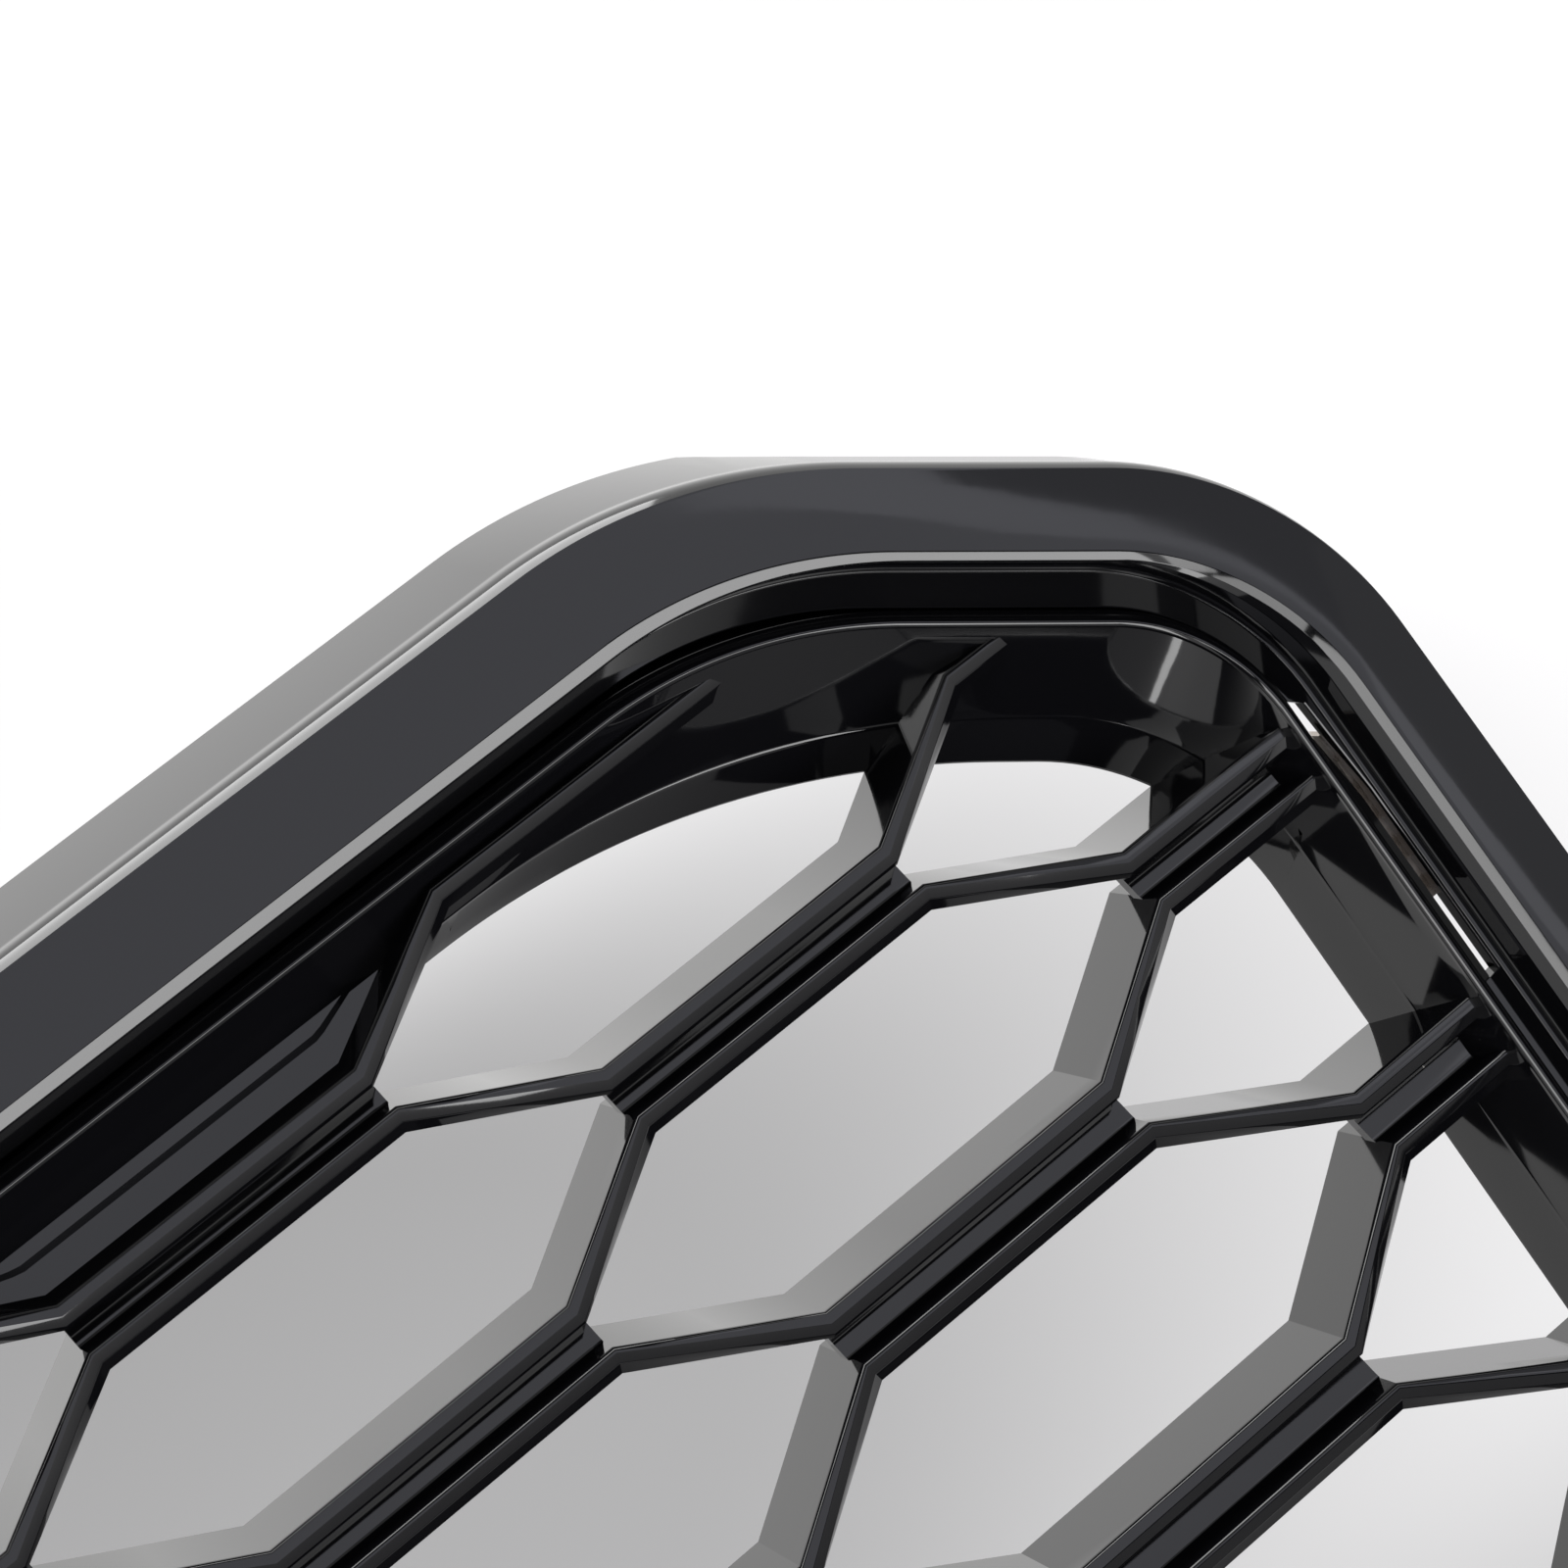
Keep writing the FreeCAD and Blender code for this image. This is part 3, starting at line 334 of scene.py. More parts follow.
def make_bezel(material):
    shape = Shape()

    def slotted(offset, depth):
        """The ledge's inner edge, cut back at the clip slots, whose upper end is a point."""
        ring = []
        tip = SLOT[1] + SLOT_POINT
        for (nx, nz), (fx, fz) in zip(outline(offset), outline(offset + SLOT_CUT)):
            cut = min(1.0, (tip - nz) / SLOT_POINT) if SLOT[0] < nz < tip else 0.0
            ring.append((nx + (fx - nx) * cut, nz + (fz - nz) * cut))
        return shape.ring(ring, depth)

    rows = [slotted(2.0, GROOVE_REAR)]
    for offset, depth in ((2.0, 1.85), (2.06, 1.62), (2.2, 1.5)):
        rows.append(slotted(offset, (depth, depth - 0.5, depth - 0.5, depth)))
    ledge = ((-0.95, 0.96), (-0.9, 0.86), (-0.82, 0.74), (-0.7, 0.66))
    ledge += ((-0.4, 0.6), (-0.16, 0.35), (-0.06, -0.1))
    rows += [shape.ring(groove_edge(shift), depth) for shift, depth in ledge]
    bevel = [
        ((5.34, 7.04, 5.54), (-6.4, -6.8, -5.9)),
        ((5.4, 7.1, 5.6), (-6.7, -7.1, -6.15)),
        ((5.52, 7.2, 6.72), (-6.84, -7.28, -7.18)),
        ((5.62, 7.3, 6.84), (-6.92, -7.36, -7.27)),
        ((7.1, 8.1, 7.75), (-7.92, -7.9, -7.88)),
        ((7.22, 8.22, 7.87), (-7.97, -7.95, -7.95)),
        ((7.45, 8.45, 8.2), (-8.0, -8.0, -8.0)),
    ]
    for offsets, depths in bevel:
        rows.append(shape.ring(outline((*offsets, offsets[0])), (*depths, depths[0])))
    for share in (0.2, 0.4, 0.6, 0.8, 0.97):
        shifts = tuple(a + (b - a) * share - reach for a, b, reach in zip(FACE_START, FACE_END, REACH))
        crown = max(0.0, share - CROWN_START)
        rows.append(shape.ring(bezel_edge(shifts), BEZEL_FRONT + CROWN * crown * crown))
    for share, depth in ((0.0, -7.84), (0.32, -7.4), (0.62, -6.8), (0.86, -5.95), (1.0, -4.8)):
        shifts = tuple((b - reach) * (1 - share) for b, reach in zip(FACE_END, REACH))
        rows.append(shape.ring(bezel_edge(shifts), depth))
    rear = [rear_depth(x, z) for x, z in bezel_edge(0.0)]

    def outer(share, limit, before_rear, shift=0.0):
        """Ring on the outer wall, at a share of its lean."""
        straight, leaning = bezel_edge(shift), bezel_edge(tuple(lean * share + shift for lean in FLARE))
        points = []
        for (ax, az), (bx, bz), end in zip(straight, leaning, rear):
            part = (end - FLARE_START) / (BEZEL_REAR - FLARE_START)
            points.append(place(ax + (bx - ax) * part, az + (bz - az) * part, min(limit, end - before_rear)))
        return shape.row(points)

    rows += [outer(0.0, -3.2, 4.2), outer(0.03, -2.2, 3.6), outer(0.1, FLARE_START, 2.7)]
    rows += [outer(0.98, BEZEL_REAR, 0.5), outer(0.95, BEZEL_REAR, 0.08), outer(0.88, BEZEL_REAR, 0.0)]
    rows += [outer(0.6, BEZEL_REAR, 0.0, -SKIN + 0.3), outer(0.6, BEZEL_REAR, 0.35, -SKIN)]
    rows += [shape.ring(bezel_edge(-SKIN), -4.6), shape.ring(bezel_edge(-SKIN - 0.9), -5.5)]
    groove_wall = (
        (GROOVE_WALL + 0.9, -5.5), (GROOVE_WALL, -4.6),
        (GROOVE_WALL, GROOVE_REAR - 0.4), (GROOVE_WALL - 0.4, GROOVE_REAR),
    )
    for shift, depth in groove_wall:
        rows.append(shape.ring(groove_edge(shift), depth))
    rows += [slotted(2.2, GROOVE_REAR)]
    shape.skin(rows)

    boss = [(3.4, 2.6), (3.25, 3.4), (3.0, 4.2), (2.95, 8.8), (2.75, 9.0), (1.5, 9.0), (1.5, 5.0)]
    for x, z in SCREW_PLACES:
        shape.turned(boss, place(x, z, 0), (0, 1, 0))
    for stations, upper in ((TAB_TOP_X, True), (TAB_BOTTOM_X, False)):
        for x in stations:
            if upper:
                level = top_place(abs(x) + TAB_HALF, OUTER) - 2.3
            else:
                level = bottom_place(abs(x) - TAB_HALF, OUTER) + 0.3
            y = (surface_y(x, level) + BEZEL_REAR - DATUM_Y) * MM
            z = (level - DATUM_Z) * MM
            left, right = (x - TAB_HALF) * MM, (x + TAB_HALF) * MM
            shape.block((left, y - 0.004, z), (right, y + 0.009, z + 0.002), 0.3)
    for x in (240, -240):    # seats of the upper brackets
        wall_top = top_place(258, OUTER)
        rear_y = (surface_y(x, wall_top) + BEZEL_REAR - DATUM_Y) * MM
        low = (x * MM - 0.018, (37.0 - DATUM_Y) * MM, (wall_top - SKIN / 2 - DATUM_Z) * MM)
        shape.block(low, (x * MM + 0.018, rear_y, (61.5 - DATUM_Z) * MM), 0.6)
    for x in (200, -200):    # seats of the lower pins
        y = (-50.0 - DATUM_Y) * MM
        wall_bottom = bottom_place(200, OUTER) + SKIN
        low = (x * MM - 0.009, y - 0.009, (-158.0 - DATUM_Z) * MM)
        shape.block(low, (x * MM + 0.009, y + 0.009, (wall_bottom - DATUM_Z) * MM), 0.8)
    shape.build("bezel", material, "surround_frame")


# -------------------------------------------------------- honeycomb insert
def lattice_point(column, row, along, across):
    x = column * PITCH + along
    height = row * ROW_PITCH + across
    height -= ROW_GROWTH * height * height
    return x, height + CENTRE_RISE - x * x / (2 * DROOP)


RIM_SHIFT = (0.4, 0.55, 0.5, 0.4)  # from the fixings' line to the middle of the rim, for each edge
RIM_CORNER = 60.0
FRONT_EDGE = (-0.85,) * 4          # from the middle of the rim to the start of its sloping inner wall
FOLD = (-8.0, -10.8, -4.8, -4.8)   # from the rim to the fold in its sloping inner wall
FOLD_DEPTH = (8.5, 10.0, 8.0, 8.0)
OPENING = (-11.3, -16.0, -8.0, -8.0)    # from the rim to the edge of the opening at the rear
LIP_RADII = (110.0, ELBOW_RADIUS + 8, FOOT_RADIUS)


def rim_ring(offset):
    radii = (RIM_CORNER + offset, ELBOW_RADIUS + offset, FOOT_RADIUS + offset)
    return outline(tuple(shift + offset for shift in RIM_SHIFT), radii)


def slope_ring(start, end, share, bend):
    """Ring on the rim's inner wall, between two of its lines; bend is how far its corners have widened."""
    front_radii = tuple(radius + FRONT_EDGE[0] for radius in (RIM_CORNER, ELBOW_RADIUS, FOOT_RADIUS))
    radii = tuple(a + (b - a) * bend for a, b in zip(front_radii, LIP_RADII))
    return outline(tuple(s + a + (b - a) * share for s, a, b in zip(RIM_SHIFT, start, end)), radii)


BORDER = rim_ring(-0.4)


def limits(x, border):
    """Lowest and highest z of the border at x, or None outside it."""
    heights = []
    for (ax, az), (bx, bz) in zip(border, border[1:] + border[:1]):
        if (ax - x) * (bx - x) <= 0 and ax != bx:
            heights.append(az + (bz - az) * (x - ax) / (bx - ax))
    return (min(heights), max(heights)) if len(heights) > 1 else None


def ribbon_nodes(row):
    """The zigzag ridge between rows row and row + 1: points with the share of an upper ridge."""
    nodes = []
    reach = 6 if row == 1 else 8    # this one ends in the corners of the rim
    for column in range(-reach, reach + 1):
        upper = (column + row) % 2 == 0
        level, across = (row, RIDGE) if upper else (row + 1, -RIDGE)
        for along in (-BAR, BAR):
            x, z = lattice_point(column, level, along, across)
            nodes.append((x, z, 1.0 if upper else 0.0))
    return nodes


RIBBONS = {row: ribbon_nodes(row) for row in range(-10, 4)}


def ribbon_height(row, x):
    nodes = RIBBONS[row]
    for (ax, az, _), (bx, bz, _) in zip(nodes, nodes[1:]):
        if ax <= x <= bx:
            return az + (bz - az) * (x - ax) / (bx - ax)
    return nodes[0][1] if x < nodes[0][0] else nodes[-1][1]


def inside(x, z, border):
    span = limits(x, border)
    return span is not None and span[0] < z < span[1]


def crossing(a, b, border):
    """The point between a, inside, and b, outside, that lies on the border."""
    low, high = 0.0, 1.0
    for _ in range(24):
        mid = (low + high) / 2
        point = [p + (q - p) * mid for p, q in zip(a, b)]
        if inside(point[0], point[1], border):
            low = mid
        else:
            high = mid
    return tuple(p + (q - p) * low for p, q in zip(a, b))


def clipped_runs(nodes, border):
    """The parts of a ribbon inside the border."""
    runs = []
    run = []
    for a, b in zip(nodes, nodes[1:]):
        a_in, b_in = inside(a[0], a[1], border), inside(b[0], b[1], border)
        if a_in and not run:
            run = [a]
        if a_in and b_in:
            run.append(b)
        elif a_in:
            run.append(crossing(a, b, border))
            runs.append(run)
            run = []
        elif b_in:
            run = [crossing(b, a, border), b]
    if run:
        runs.append(run)
    return [r for r in runs if math.dist(r[0][:2], r[-1][:2]) > 1.0]


def ridge_section(upper):
    """Offsets to the upper side and depths across a ridge, from its upper rear edge to its lower one."""
    crest = 0.3 * upper + 1.02 * (1 - upper)
    low = crest - 1.22
    drop = 0.8
    return [
        (1.7, 15.0), (1.56, 4.0), (1.55, 0.75), (1.52, 0.42), (1.42, 0.16), (1.28, 0.03),
        (crest + 0.14, 0.0), (crest, 0.02), (crest - 0.14, 0.12),
        (low + 0.1, 0.08 + drop * 0.93), (low, 0.16 + drop),
        (low - 0.12, 0.36 + drop), (-1.48, 2.5), (-1.56, 3.0), (-1.7, 15.0),
    ]


def make_ridges(shape):
    for row, nodes in RIBBONS.items():
        for run in clipped_runs(nodes, BORDER):
            stations = []
            for number, (x, z, upper) in enumerate(run):
                directions = []
                for other in (number - 1, number):
                    if 0 <= other < len(run) - 1:
                        dx = run[other + 1][0] - run[other][0]
                        dz = run[other + 1][1] - run[other][1]
                        length = math.hypot(dx, dz)
                        directions.append((dx / length, dz / length))
                mx = sum(d[0] for d in directions) / len(directions)
                mz = sum(d[1] for d in directions) / len(directions)
                square = mx * mx + mz * mz
                normal = (-mz / square, mx / square)
                stations.append((x, z, normal, upper))
            sections = []
            for (ax, az, an, au), (bx, bz, _, bu) in zip(stations, stations[1:]):
                pieces = max(1, round(math.dist((ax, az), (bx, bz)) / 14))
                inner = [0.0] if pieces == 1 else [k / pieces for k in range(pieces)]
                length = math.dist((ax, az), (bx, bz))
                for part in inner:
                    x, z = ax + (bx - ax) * part, az + (bz - az) * part
                    normal = an if part == 0 else (-(bz - az) / length, (bx - ax) / length)
                    sections.append((x, z, normal, au + (bu - au) * part))
            sections.append(stations[-1])
            rings = []
            for x, z, (nx, nz), upper in sections:
                rings.append([place(x + nx * s, z + nz * s, d) for s, d in ridge_section(upper)])
            shape.loft(rings)


def make_webs(shape):
    """Channel floors between the two ridges of each bar, with filleted sides."""
    section = [(1.0, 3.6), (0.9, 4.3), (0.72, 4.8), (0.5, CHANNEL_DEPTH)]
    section += [(-0.5, CHANNEL_DEPTH), (-0.72, 4.85), (-0.9, 4.5), (-1.0, 4.0)]
    section += [(-1.15, CHANNEL_DEPTH + WEB), (1.15, CHANNEL_DEPTH + WEB)]
    for column in range(-8, 9):
        for row in range(-9, 4):
            if (column + row) % 2:
                continue
            centre = column * PITCH
            steps = 26
            rings = []
            for k in range(steps + 1):
                x = centre - BAR - 0.6 + (2 * BAR + 1.2) * k / steps
                span = limits(x, BORDER) if abs(x) < 424 else None
                top = lattice_point(column, row, x - centre, RIDGE)[1]
                bottom = lattice_point(column, row, x - centre, -RIDGE)[1]
                if span is None or bottom > span[1] - 0.5 or top < span[0] + 0.5:
                    if rings:
                        break
                    continue
                middle, half = (top + bottom) / 2, (top - bottom) / 2 - 0.9
                ring = []
                for side, depth in section:
                    z = min(max(middle + side * half, span[0]), span[1])
                    ring.append(place(x, z, depth))
                rings.append(ring)
            if len(rings) > 2:
                shape.loft(rings)


def make_closed_floors(shape):
    """Floors of the closed cells along the top edge, each with a shallow raised field."""
    for column in (-5, -3, -1, 1, 3, 5):
        centre = column * PITCH
        reach = PITCH - BAR
        rings = []
        steps = 60
        for k in range(steps + 1):
            x = centre - reach + 2 * reach * k / steps
            span = limits(x, BORDER)
            low = ribbon_height(1, x)
            high = min(ribbon_height(2, x), span[1])
            if high - low < 0.4:
                continue
            share = abs(x - centre) / reach
            raised = 0.5 * max(0.0, min(1.0, (0.86 - share) / 0.05))
            ring = []
            for part, lift in ((0.0, 0.0), (0.24, 0.0), (0.3, 1.0), (0.6, 1.0), (0.66, 0.0), (1.0, 0.0)):
                ring.append(place(x, high + (low - high) * part, CLOSED_FLOOR - raised * lift))
            ring.append(place(x, low, CLOSED_FLOOR + WEB))
            ring.append(place(x, high, CLOSED_FLOOR + WEB))
            rings.append(ring)
        shape.loft(rings)


def make_rim(shape):
    def rear_side(offset, depth):
        """The rim's outer side, thicker where it closes the clip slots' inner halves."""
        thin, thick = rim_ring(offset), rim_ring(offset + 1.2)
        return shape.ring([b if in_span(a[1], SLOT) else a for a, b in zip(thin, thick)], depth)

    rows = [rear_side(1.25, 15.0), rear_side(1.25, 1.2), shape.ring(rim_ring(1.22), 0.9)]
    front = ((1.18, 0.2), (0.95, -0.9), (0.55, -1.75), (0.2, -2.2), (0.0, -2.4), (-0.12, -2.46))
    inner = ((-0.26, -2.44), (-0.36, -2.38), (-0.66, -2.14), (-0.76, -2.0), (-0.82, -1.7))
    rows += [shape.ring(rim_ring(offset), depth) for offset, depth in front + inner]
    for share in (0.0, 0.15, 0.3, 0.5, 0.7, 0.85, 0.97):
        depths = tuple(-1.2 + (fold + 1.2) * share for fold in FOLD_DEPTH)
        rows.append(shape.ring(slope_ring(FRONT_EDGE, FOLD, share, share), depths))
    for share, lift in ((0.0, -0.12), (0.04, -0.06), (0.07, 0.0), (0.3, 0.0), (0.6, 0.0), (0.97, 0.0)):
        depths = tuple(fold + (MESH_DEPTH - 0.3 - fold) * share + lift for fold in FOLD_DEPTH)
        rows.append(shape.ring(slope_ring(FOLD, OPENING, share, 1.0), depths))
    rows.append(shape.ring(slope_ring(FOLD, OPENING, 1.0, 1.0), MESH_DEPTH))
    shape.skin(rows)


def make_flange(shape):
    """The screwed flange round the rim, left out behind the clip slots, and its screw pads."""
    start, end = FLANGE, FLANGE + SKIN

    def ring(offset, depth):
        full = outline(offset)
        short = outline(min(offset, 1.2))
        return shape.ring([b if in_span(a[1], SLOT, 3) else a for a, b in zip(full, short)], depth)

    front = [ring(0.5, start), ring(9.7, start), ring(10.0, start + 0.3)]
    shape.skin(front + [ring(10.0, end - 0.3), ring(9.7, end), ring(0.5, end)])
    pad = [(4.1, 1.9), (4.0, 2.6), (3.95, 4.3), (3.75, 4.5)]
    for x, z in SCREW_PLACES:
        shape.turned(pad, place(x, z, FLANGE), (0, 1, 0))


def make_insert(material):
    shape = Shape()
    make_ridges(shape)
    make_webs(shape)
    make_closed_floors(shape)
    make_rim(shape)
    make_flange(shape)
    shape.build("honeycomb", material, "honeycomb_insert")


# --------------------------------------------------------------- materials
def new_material(name, **sockets):
    material = bpy.data.materials.new(name)
    material.use_nodes = True
    shader = material.node_tree.nodes["Principled BSDF"]
    for socket, value in sockets.items():
        shader.inputs[socket.replace("_", " ")].default_value = value
    return material, material.node_tree, shader


def node(tree, kind, inputs=None, **settings):
    made = tree.nodes.new(kind)
    for key, value in settings.items():
        setattr(made, key, value)
    for key, value in (inputs or {}).items():
        if isinstance(value, bpy.types.NodeSocket):
            tree.links.new(value, made.inputs[key])
        else:
            made.inputs[key].default_value = value
    return made


def in_object(tree):
    return node(tree, "ShaderNodeTexCoord").outputs["Object"]


def mapped(tree, value, low, high, new_low, new_high, smooth=False):
    ends = {"Value": value, "From Min": low, "From Max": high, "To Min": new_low, "To Max": new_high}
    kind = "SMOOTHSTEP" if smooth else "LINEAR"
    return node(tree, "ShaderNodeMapRange", ends, interpolation_type=kind).outputs["Result"]


def bumped(tree, shader, height, distance, strength):
    bump = node(tree, "ShaderNodeBump", {"Height": height, "Distance": distance, "Strength": strength})
    tree.links.new(bump.outputs["Normal"], shader.inputs["Normal"])


def gloss_black():
    """Piano-black plastic: faint orange peel, hazier patches, and dust that settled on it."""
    material, tree, shader = new_material("gloss_black_plastic", IOR=1.5)
    where = in_object(tree)
    haze = node(tree, "ShaderNodeTexNoise", {"Vector": where, "Scale": 26.0, "Detail": 3.0}).outputs["Fac"]
    cells = node(tree, "ShaderNodeTexVoronoi", {"Vector": where, "Scale": 210.0, "Randomness": 1.0})
    speck = mapped(tree, cells.outputs["Distance"], 0.022, 0.034, 1.0, 0.0, smooth=True)
    chance = node(tree, "ShaderNodeSeparateColor", {"Color": cells.outputs["Color"]}).outputs["Red"]
    kept_share = {0: chance, 1: 0.955}
    chosen = node(tree, "ShaderNodeMath", kept_share, operation="GREATER_THAN").outputs["Value"]
    dust = node(tree, "ShaderNodeMath", {0: speck, 1: chosen}, operation="MULTIPLY").outputs["Value"]
    clean_colour, dust_colour = (0.0022, 0.0022, 0.0027, 1), (0.34, 0.33, 0.31, 1)
    tint = node(tree, "ShaderNodeMix", {0: dust, 6: clean_colour, 7: dust_colour}, data_type="RGBA")
    tree.links.new(tint.outputs[2], shader.inputs["Base Color"])
    clean = mapped(tree, haze, 0.35, 0.7, 0.035, 0.075)
    rough_parts = {0: clean, 1: dust}
    rough = node(tree, "ShaderNodeMath", rough_parts, operation="ADD", use_clamp=True).outputs["Value"]
    tree.links.new(rough, shader.inputs["Roughness"])
    peel = node(tree, "ShaderNodeTexNoise", {"Vector": where, "Scale": 240.0, "Detail": 2.0}).outputs["Fac"]
    bumped(tree, shader, peel, 0.00002, 0.12)
    return material


def grained(name, dark, light, rough, scale, bump, metallic=0.0, stretch=(1, 1, 1)):
    """A fine-grained surface whose colour and gloss wander between two values."""
    material, tree, shader = new_material(name, Metallic=metallic)
    spread = node(tree, "ShaderNodeMapping", {"Vector": in_object(tree), "Scale": stretch}).outputs["Vector"]
    wide = {"Vector": spread, "Scale": scale * 0.15, "Detail": 4.0}
    broad = node(tree, "ShaderNodeTexNoise", wide).outputs["Fac"]
    ramp = node(tree, "ShaderNodeValToRGB", {"Fac": broad})
    ramp.color_ramp.elements[0].position = 0.32
    ramp.color_ramp.elements[0].color = (*dark, 1)
    ramp.color_ramp.elements[1].position = 0.7
    ramp.color_ramp.elements[1].color = (*light, 1)
    tree.links.new(ramp.outputs["Color"], shader.inputs["Base Color"])
    tree.links.new(mapped(tree, broad, 0.3, 0.7, rough[0], rough[1]), shader.inputs["Roughness"])
    fine = node(tree, "ShaderNodeTexNoise", {"Vector": spread, "Scale": scale, "Detail": 3.0}).outputs["Fac"]
    bumped(tree, shader, fine, bump, 0.5)
    return material


GLOSS = gloss_black()
NYLON = grained("matte_black_plastic", (0.012, 0.012, 0.013), (0.024, 0.024, 0.026),
                (0.5, 0.62), 2600.0, 0.00006)
SCREW = grained("black_screw_steel", (0.03, 0.03, 0.033), (0.075, 0.075, 0.08),
                (0.28, 0.42), 1800.0, 0.00002, 0.9)
BRACKET = grained("bracket_steel", (0.018, 0.018, 0.02), (0.04, 0.04, 0.043),
                  (0.38, 0.55), 900.0, 0.00004, 0.35)
SPRING = grained("spring_steel", (0.3, 0.24, 0.19), (0.5, 0.46, 0.42),
                 (0.22, 0.34), 900.0, 0.00001, 0.9, (1, 1, 3))
RUBBER = grained("grommet_rubber", (0.012, 0.012, 0.012), (0.03, 0.029, 0.028),
                 (0.7, 0.85), 1600.0, 0.00008)
FELT = grained("felt", (0.02, 0.02, 0.021), (0.055, 0.054, 0.052),
               (0.93, 1.0), 3200.0, 0.0005, 0.0, (1, 1, 2.5))

make_bezel(GLOSS)
make_insert(GLOSS)
NODE_MATERIALS = {
    SCREW: ("insert_screws_", "bracket_screws_", "lower_pin_screws"),
    BRACKET: ("upper_bracket_",),
    NYLON: ("lower_pin_left", "lower_pin_right"),
    RUBBER: ("lower_grommet_",),
    SPRING: ("upper_edge_clips", "lower_edge_clips", "side_clip_"),
    FELT: ("felt_strip_",),
}
for material, starts in NODE_MATERIALS.items():
    for name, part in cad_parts.items():
        if name.startswith(starts):
            for slot in part.material_slots:
                slot.material = material

# ------------------------------------------------------------------- stage
FLOOR_Z = cad_low.z - 0.0008


def make_floor():
    """Pale floor that glows, large enough to reach the horizon; its glow is dimmed into painted shadows under
    the object and behind it.
    """
    mesh = bpy.data.meshes.new("floor")
    reach = 40.0
    corners = [(-reach, -reach, 0), (reach, -reach, 0), (reach, reach, 0), (-reach, reach, 0)]
    mesh.from_pydata(corners, [], [(0, 1, 2, 3)])
    floor = bpy.data.objects.new("floor", mesh)
    floor.location.z = FLOOR_Z
    bpy.context.scene.collection.objects.link(floor)
    material, tree, shader = new_material("pale_floor", Roughness=0.8)
    shader.inputs["Base Color"].default_value = (0.14, 0.139, 0.142, 1)
    where = in_object(tree)
    parts = node(tree, "ShaderNodeSeparateXYZ", {"Vector": where})

    def calc(operation, first, second=0.0):
        return node(tree, "ShaderNodeMath", {0: first, 1: second}, operation=operation).outputs["Value"]

    def distance(x, y, stretch):
        """Distance from a point on the floor, with the lateral part scaled."""
        lateral = calc("MULTIPLY", calc("SUBTRACT", parts.outputs["X"], x), stretch)
        depth = calc("SUBTRACT", parts.outputs["Y"], y)
        total = calc("ADD", calc("MULTIPLY", lateral, lateral), calc("MULTIPLY", depth, depth))
        return calc("SQRT", total)

    # painted shadow: the glow fades in a wide pool behind the object, where the object's cast shadow would
    # fall
    behind = mapped(tree, distance(0.0, 0.7, 1.3), 0.55, 1.0, 0.17, 0.84, smooth=True)
    # painted contact shadow: a dark ellipse in the glow under the object
    painted_shadow_under = mapped(tree, distance(0.0, -0.1, 0.35), 0.15, 0.34, 0.2, 1.0, smooth=True)
    # the floor's glow, with both painted shadows multiplied into it
    tree.links.new(calc("MULTIPLY", behind, painted_shadow_under), shader.inputs["Emission Strength"])
    shader.inputs["Emission Color"].default_value = (1.0, 0.995, 1.0, 1)
    mesh.materials.append(material)


def make_world():
    """Studio walls: pale behind, from the horizon to overhead, and dark in front."""
    world = bpy.data.worlds.new("studio")
    bpy.context.scene.world = world
    world.use_nodes = True
    tree = world.node_tree
    tree.nodes.clear()
    direction = node(tree, "ShaderNodeTexCoord").outputs["Generated"]
    parts = node(tree, "ShaderNodeSeparateXYZ", {"Vector": direction})
    level = mapped(tree, parts.outputs["Y"], -0.35, 0.15, 0.03, 1.12, smooth=True)
    background = node(tree, "ShaderNodeBackground", {"Color": (1.0, 0.995, 0.99, 1), "Strength": level})
    output = node(tree, "ShaderNodeOutputWorld")
    tree.links.new(background.outputs["Background"], output.inputs["Surface"])


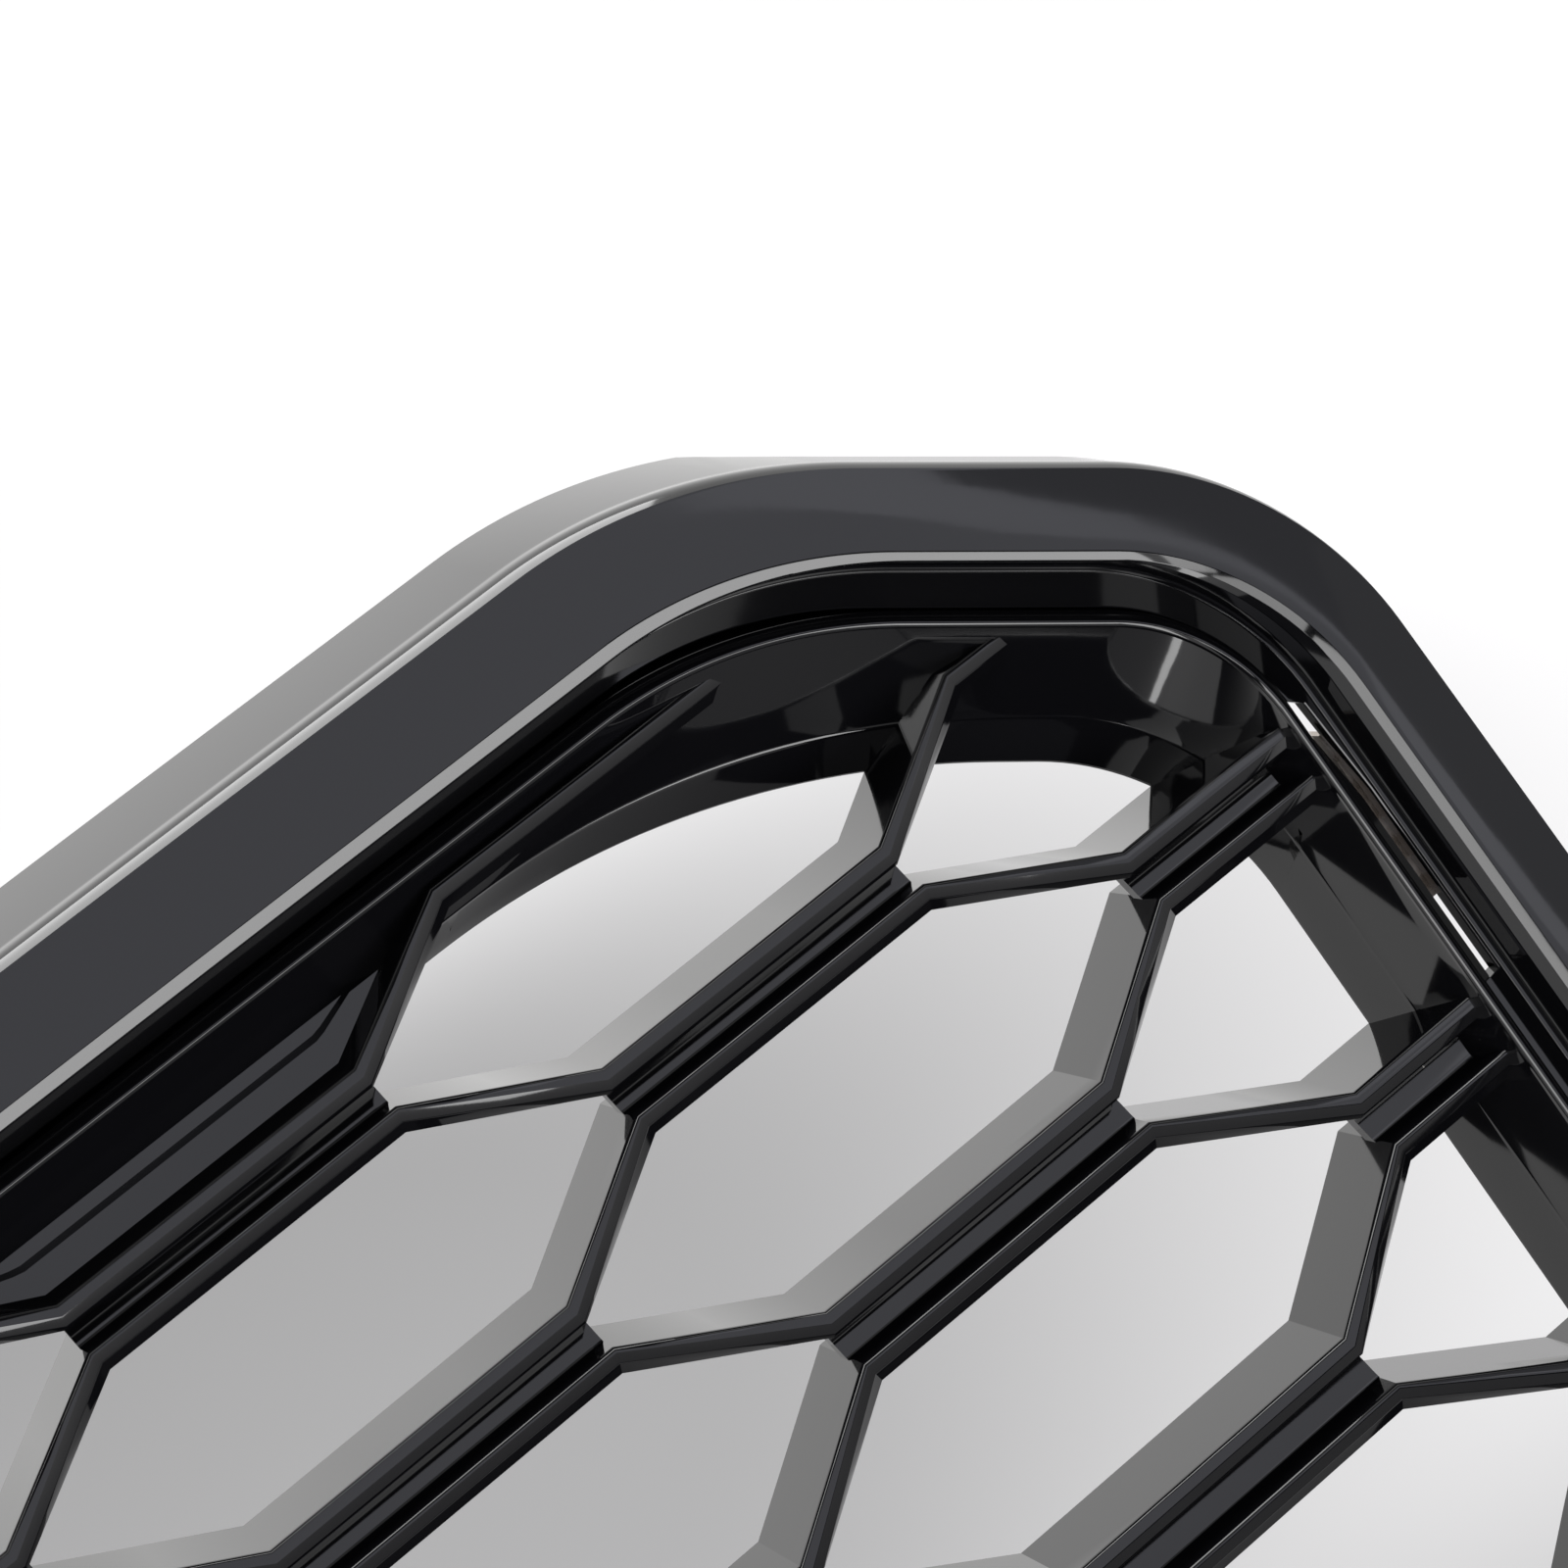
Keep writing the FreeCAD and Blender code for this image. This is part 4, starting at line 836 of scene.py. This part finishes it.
def panel(name, location, rotation, size, radiance, tint=(1, 1, 1)):
    """Rectangular light of an even radiance, seen in reflections but not by the camera."""
    light = bpy.data.lights.new(name, "AREA")
    light.shape = "RECTANGLE"
    light.size, light.size_y = size
    light.energy = radiance * math.pi * size[0] * size[1]
    light.color = tint
    lamp = bpy.data.objects.new(name, light)
    lamp.location = location
    lamp.rotation_euler = rotation
    lamp.visible_camera = False
    bpy.context.scene.collection.objects.link(lamp)


def softbox(name, azimuth, elevation, distance, size, radiance, tint=(1, 1, 1)):
    """Panel facing the upper corner, at an azimuth to the right of the front and an elevation from it."""
    a, e = math.radians(azimuth), math.radians(elevation)
    towards = Vector((math.sin(a) * math.cos(e), -math.cos(a) * math.cos(e), math.sin(e)))
    rotation = towards.to_track_quat("Z", "Y").to_euler()
    panel(name, CORNER + towards * distance, rotation, size, radiance, tint)


make_floor()
make_world()
CORNER = Vector((0.36, -0.07, -0.05))    # the upper right corner, which faces the camera
COOL = (0.9, 0.91, 1.0)
softbox("key_front", 16.0, 36.0, 1.3, (1.02, 0.8), 1.2, COOL)
softbox("key_side", 48.0, 41.0, 1.3, (0.34, 0.6), 0.55, COOL)
softbox("edge_top", 180.0, 66.0, 1.1, (1.3, 0.78), 5.2)
softbox("fill_right", 49.0, 14.0, 1.3, (0.55, 0.65), 0.62, (0.93, 0.94, 1.0))
softbox("edge_low", -20.0, -10.0, 1.2, (0.3, 0.5), 5.0)
softbox("edge_level", -35.0, 12.0, 1.2, (0.3, 0.5), 5.0)
softbox("edge_left", -44.0, 36.0, 1.2, (0.34, 0.4), 6.0)
softbox("side_left", -66.0, 30.0, 1.2, (0.4, 0.5), 1.1)
panel("low_front", (0.42, -0.57, FLOOR_Z + 0.003), (math.pi, 0.0, 0.0), (1.1, 0.48), 7.0)

# ------------------------------------------------------------------ camera
camera_data = bpy.data.cameras.new("camera")
camera_data.lens = 109.44
camera_data.sensor_width = 36.0
camera_data.clip_start, camera_data.clip_end = 0.01, 200.0
camera = bpy.data.objects.new("camera", camera_data)
camera.location = (0.26367, -0.54205, 0.05487)
camera.rotation_euler = [math.radians(angle) for angle in (75.7467, 37.1019, -21.4180)]
bpy.context.scene.collection.objects.link(camera)
bpy.context.scene.camera = camera
bpy.context.scene.view_settings.view_transform = "Standard"
